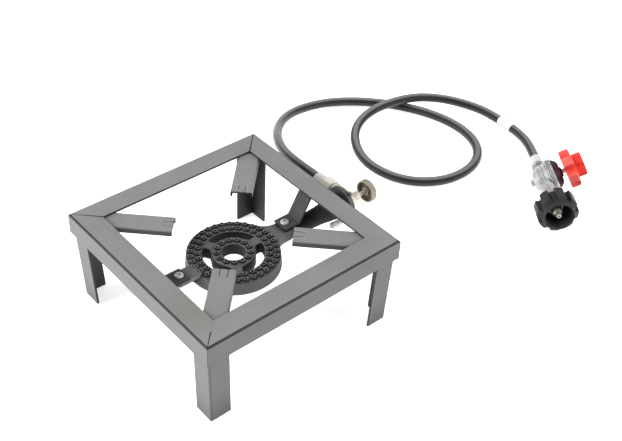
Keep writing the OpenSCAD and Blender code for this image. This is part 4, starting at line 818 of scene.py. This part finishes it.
def coil(origin, axes, radius, wire, low, high, turns):
    """A compression spring with its end coils lying flat, as rings along a helix."""
    share = np.linspace(0, 1, int(turns * 28) + 1)
    dead = 0.75 / turns
    climb = np.clip((share - dead) / (1 - 2 * dead), 0, 1)
    angle = 2 * np.pi * turns * share
    helix = np.stack([radius * np.cos(angle), radius * np.sin(angle),
                      low + wire + (high - low - 2 * wire) * climb], 1)
    line = origin + helix * MM @ axes.T
    rings = tube(line, wire * MM, 12, over_hint=axes[:, 2])
    ends = [np.broadcast_to(line[i], (1, 12, 3)) for i in (0, -1)]
    return np.concatenate([ends[0], rings, ends[1]])


print("the valve's inlet stands", inlet_line[0], "m from the burner's middle")


# %% [markdown]
# ### Crimped ferrules
# Each hose end is held by a short aluminium sleeve, crimped in a press with eight jaws.
# The jaws leave eight shallow flats in two bands, with plain rounded beads between them.

# %% Crimp sleeves over the hose ends
def crimp_sleeve(name, origin, axes, start):
    """A sleeve that starts at a height, with two bands of eight flats. Sizes in mm."""
    length, outside, bore, flat_depth, rounding = 15.2, 7.86, 6.3, 0.42, 0.55
    heights = np.linspace(0, 1, 49)
    turns = np.linspace(0, 2 * np.pi, 96, endpoint=False)[None, :]
    jaws = np.abs(np.cos(4 * turns)) ** 6
    band = (np.clip(np.sin(heights * 2 * np.pi - 0.6) * 3, 0, 1)
            + np.clip(-np.sin(heights * 2 * np.pi + 0.6) * 3, 0, 1))[:, None]
    rounded_ends = rounding * np.maximum(0, np.abs(heights * 2 - 1) - 0.93)[:, None] / 0.07
    radii = outside - flat_depth * band * (0.35 + 0.65 * jaws) - rounded_ends
    radii = np.concatenate([np.full((1, 96), bore), radii, np.full((1, 96), bore)])
    heights = start + length * np.concatenate([[0], heights, [1]])
    sleeve = surface(name, turned(origin, axes, radii, heights, 96), "stand",
                     crimped_aluminium, sharp=35)
    return sleeve


crimp_sleeve("valve_crimp_sleeve", inlet_line, inlet_axes, 40.95)
far_sleeve = crimp_sleeve("regulator_crimp_sleeve", reg_origin, regulator_axes, 0.15)

# %% [markdown]
# ### The bonnet's clamp ring
# The ring is turned, with three rounded ridges that catch the light as parallel lines,
# and a lip rolled over the bonnet's flange. It stands in for the plainer ring.

# %% Turn the ridged clamp ring
ring_start, ring_span, ring_radius, ridge_depth = 8.0, 7.4, 21.35, 1.12
ridge_heights = np.linspace(ring_start, 15.4, 61)
ridge_wave = np.sin(np.pi * (ridge_heights - ring_start) / ring_span * 3)
ridges = ring_radius + ridge_depth * np.abs(ridge_wave) ** 0.6
ring_radii = np.concatenate([[21.15, 21.3], ridges, [21.2, 19.55, 19.55, 21.15, 21.15]])
ring_heights = np.concatenate([[7.55, 7.55], ridge_heights, [15.95, 15.95, 14.5, 14.5, 7.55]])
clamp_ring = surface("ridged_clamp_ring", turned(
    bonnet_origin, to_bonnet, ring_radii, ring_heights, 128), "stand", die_cast_zinc, sharp=50)
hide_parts("bonnet_ring")

# %% [markdown]
# The cup under the ring has three soft steps, left by the die that it was cast in. A thin
# skin over the cup's side carries them: its radius follows the cup, with small waves.

# %% Cast the steps into the cup's side
cup_start, cup_end, cup_span, step_depth = -5.9, 6.9, 12.8, 0.75
step_heights = np.linspace(cup_start, cup_end, 53)
step_radii = np.interp(step_heights, [-6, 1, 4.5, 6.9], [16.5, 18.0, 18.6, 21.0])
step_wave = np.sin(np.pi * (step_heights - cup_start) / cup_span * 3)
waves = step_depth * np.abs(step_wave) ** 0.7
cup_radii = np.concatenate([[16.0], step_radii + waves, [18.4]])
cup_heights = np.concatenate([[-6.2], step_heights, [7.0]])
cup_steps = surface("cup_steps", turned(
    bonnet_origin, to_bonnet, cup_radii, cup_heights, 128), "stand", die_cast_zinc, sharp=50)

# %% [markdown]
# ### Springs
# The shutter's spring is the bright coil under the mixing tube. The regulator's spring
# is hidden in the bonnet, and gets the same smooth wire.

# %% Wind the two springs
screw_turn, screw_reach = math.radians(130), 18.2
screw_line = tube_line + np.array(
    [0, screw_reach * math.cos(screw_turn), -screw_reach * math.sin(screw_turn)]) * MM
for name, replaced, origin, axes, radius, wire, low, high, turns in (
        ("shutter_coil", "shutter_spring", screw_line, tube_axes, 3.35, 0.55, 136, 156, 9),
        ("regulator_coil", "regulating_spring", bonnet_origin, to_bonnet,
         8.0, 0.8, 12.05, 18.95, 3.2)):
    spring = surface(name, coil(origin, axes, radius, wire, low, high, turns),
                     "stand", bright_wire, sharp=60)
    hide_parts(replaced)

# %% [markdown]
# ### Threads
# The shutter screw's end, the adjusting screw under the red knob and the inside of the
# gas nut show their threads. The nut's is the coarse square-cornered kind that fits a
# cylinder valve. Each thread rides on the part that it is cut in.

# %% Cut the threads
for name, body, slot_name, finish, origin, axes, radius, depth, pitch, low, high in (
        ("shutter_screw_thread", "stand", "zinc_plate", zinc_plate,
         screw_line, tube_axes, 2.03, 0.28, 0.7, 164.4, 166.0),
        ("adjusting_screw_thread", "adjusting_screw", "zinc_plate", zinc_plate,
         bonnet_origin, to_bonnet, 3.24, 0.35, 1.25, 25.6, 29.4),
        ("gas_nut_thread", "gas_nut", "black_plastic", black_plastic,
         reg_origin, regulator_axes, 16.95, 0.9, 3.0, 111.0, 132.0)):
    thread = surface(name, thread_grid(origin, axes, radius, depth, pitch, low, high, 72),
                     body, finish, sharp=50)

# %% [markdown]
# ### Weld beads
# The legs and arms are joined to the frame from below by short runs of weld. A bead is a
# half-round run whose width pulses as the welder's hand moves on, so its radius is a
# small wave along a straight line, tapering to nothing at both ends.

# %% Lay the weld beads
def weld_bead(start, end, radius):
    """Rings of a lumpy tube from start to end, in millimetres."""
    share = np.linspace(0, 1, 41)[:, None]
    line = (np.array(start) + share * (np.array(end) - np.array(start))) * MM
    taper = np.sqrt(np.clip(1 - (2 * share - 1) ** 8, 0, 1))
    lumps = 1 + 0.14 * np.sin(share * 2 * np.pi * 9) + 0.05 * np.sin(share * 61)
    return tube(line, radius * MM * taper * lumps, 12)


quarter = [np.array([[c, -s, 0], [s, c, 0], [0, 0, 1]], float)
           for c, s in ((1, 0), (0, 1), (-1, 0), (0, -1))]
beads = []
for turn_round in quarter:
    for start, end, radius in (([121.6, 99.6, 91.5], [121.6, 99.6, 111.5], 1.4),
                               ([121.0, 101.0, 111.9], [121.0, 120.0, 111.9], 1.5),
                               ([99.2, 82.5, 111.6], [99.2, 99.0, 111.6], 1.3)):
        for order in ([0, 1, 2], [1, 0, 2]):  # the bead, and its mirror across the diagonal
            low, high = (turn_round @ np.array(point)[order] for point in (start, end))
            beads.append(weld_bead(low, high, radius))
welds = surface("weld_beads", np.array(beads), "stand", stand_paint, sharp=70)

# %% [markdown]
# ## The set
# A seamless white floor and three softboxes. The strong one stands high on the left,
# behind the stand's left corner, a weaker one on the right, and a faint one overhead, so
# that the left sides are the brightest and the faces inside the legs stay dark. Each box
# is two lamps in one place: one lights matt surfaces, and a weaker one is all that shiny
# surfaces mirror, which keeps flat tops from turning white at a low angle. White
# paper that is lit from above looks white to the eye and to polished metal, but here it
# sends little light back up, as when black cloth stands round the table just out of
# view. A little glow in it keeps its shadows pale.

# %% Floor and lights
def stage_material():
    """White paper: pale with a faint glow where it is seen, darker where it lights."""
    paper = bpy.data.materials.new("white_paper")
    paper.use_nodes = True
    tree = paper.node_tree
    seen = tree.nodes["Principled BSDF"]
    grain = place_group(tree, surface_grain, Fine_Scale=300.0, Broad_Scale=2.0)
    tone = sum_of(tree, "MULTIPLY_ADD", grain["Broad"], 0.02, 0.87)
    shade = add_node(tree, "ShaderNodeCombineColor", {0: tone, 1: tone, 2: tone})
    tree.links.new(shade.outputs[0], seen.inputs["Base Color"])
    for socket, value in (("Roughness", 0.85), ("Specular IOR Level", 0.15),
                          ("Emission Color", (1, 1, 1, 1)), ("Emission Strength", 0.66)):
        seen.inputs[socket].default_value = value
    bounced = add_node(tree, "ShaderNodeBsdfDiffuse", {"Color": (0.22, 0.22, 0.22, 1)})
    path = add_node(tree, "ShaderNodeLightPath").outputs
    unseen = sum_of(tree, "MULTIPLY_ADD", path["Is Glossy Ray"], 0.45, path["Is Diffuse Ray"],
                    clamp=True)
    either = add_node(tree, "ShaderNodeMixShader", {
        0: unseen, 1: seen.outputs[0], 2: bounced.outputs[0]})
    tree.links.new(either.outputs[0], tree.nodes["Material Output"].inputs["Surface"])
    return paper


floor_mesh = bpy.data.meshes.new("floor")
floor_mesh.from_pydata([(-6, -6, 0), (8, -6, 0), (8, 8, 0), (-6, 8, 0)], [], [(0, 1, 2, 3)])
floor_mesh.materials.append(stage_material())
floor = add_object("floor", floor_mesh)

sky = bpy.data.worlds.new("sky")
bpy.context.scene.world = sky
sky.use_nodes = True
sky.node_tree.nodes["Background"].inputs["Color"].default_value = (1, 1, 1, 1)
sky.node_tree.nodes["Background"].inputs["Strength"].default_value = 0.19


def softbox(name, place, aim, size, watts, mirrored_watts):
    """A square area light at a place, facing the point it aims at, made of two lamps:
    watts is the power of the one that lights matt surfaces, and mirrored_watts of the
    one that shiny surfaces mirror."""
    for part, strength in (("light", watts), ("mirrored", mirrored_watts)):
        lamp = bpy.data.lights.new(name + "_" + part, "AREA")
        lamp.size, lamp.energy = size, strength
        box = add_object(name + "_" + part, lamp)
        box.location = place
        box.rotation_euler = (Vector(aim) - Vector(place)).to_track_quat("-Z", "Y").to_euler()
        box.visible_glossy = part == "mirrored"
        box.visible_diffuse = part == "light"


softbox("left_softbox", (-2.3, 1.3, 1.4), (0.0, 0, 0.05), 2.0, 156, 40)
softbox("right_softbox", (2.1, -2.1, 1.25), (0.1, 0, 0.05), 1.9, 122, 32)
softbox("top_softbox", (0.4, 0.6, 2.2), (0.2, 0, 0), 1.8, 15, 6)
bpy.context.scene.view_settings.view_transform = "Standard"
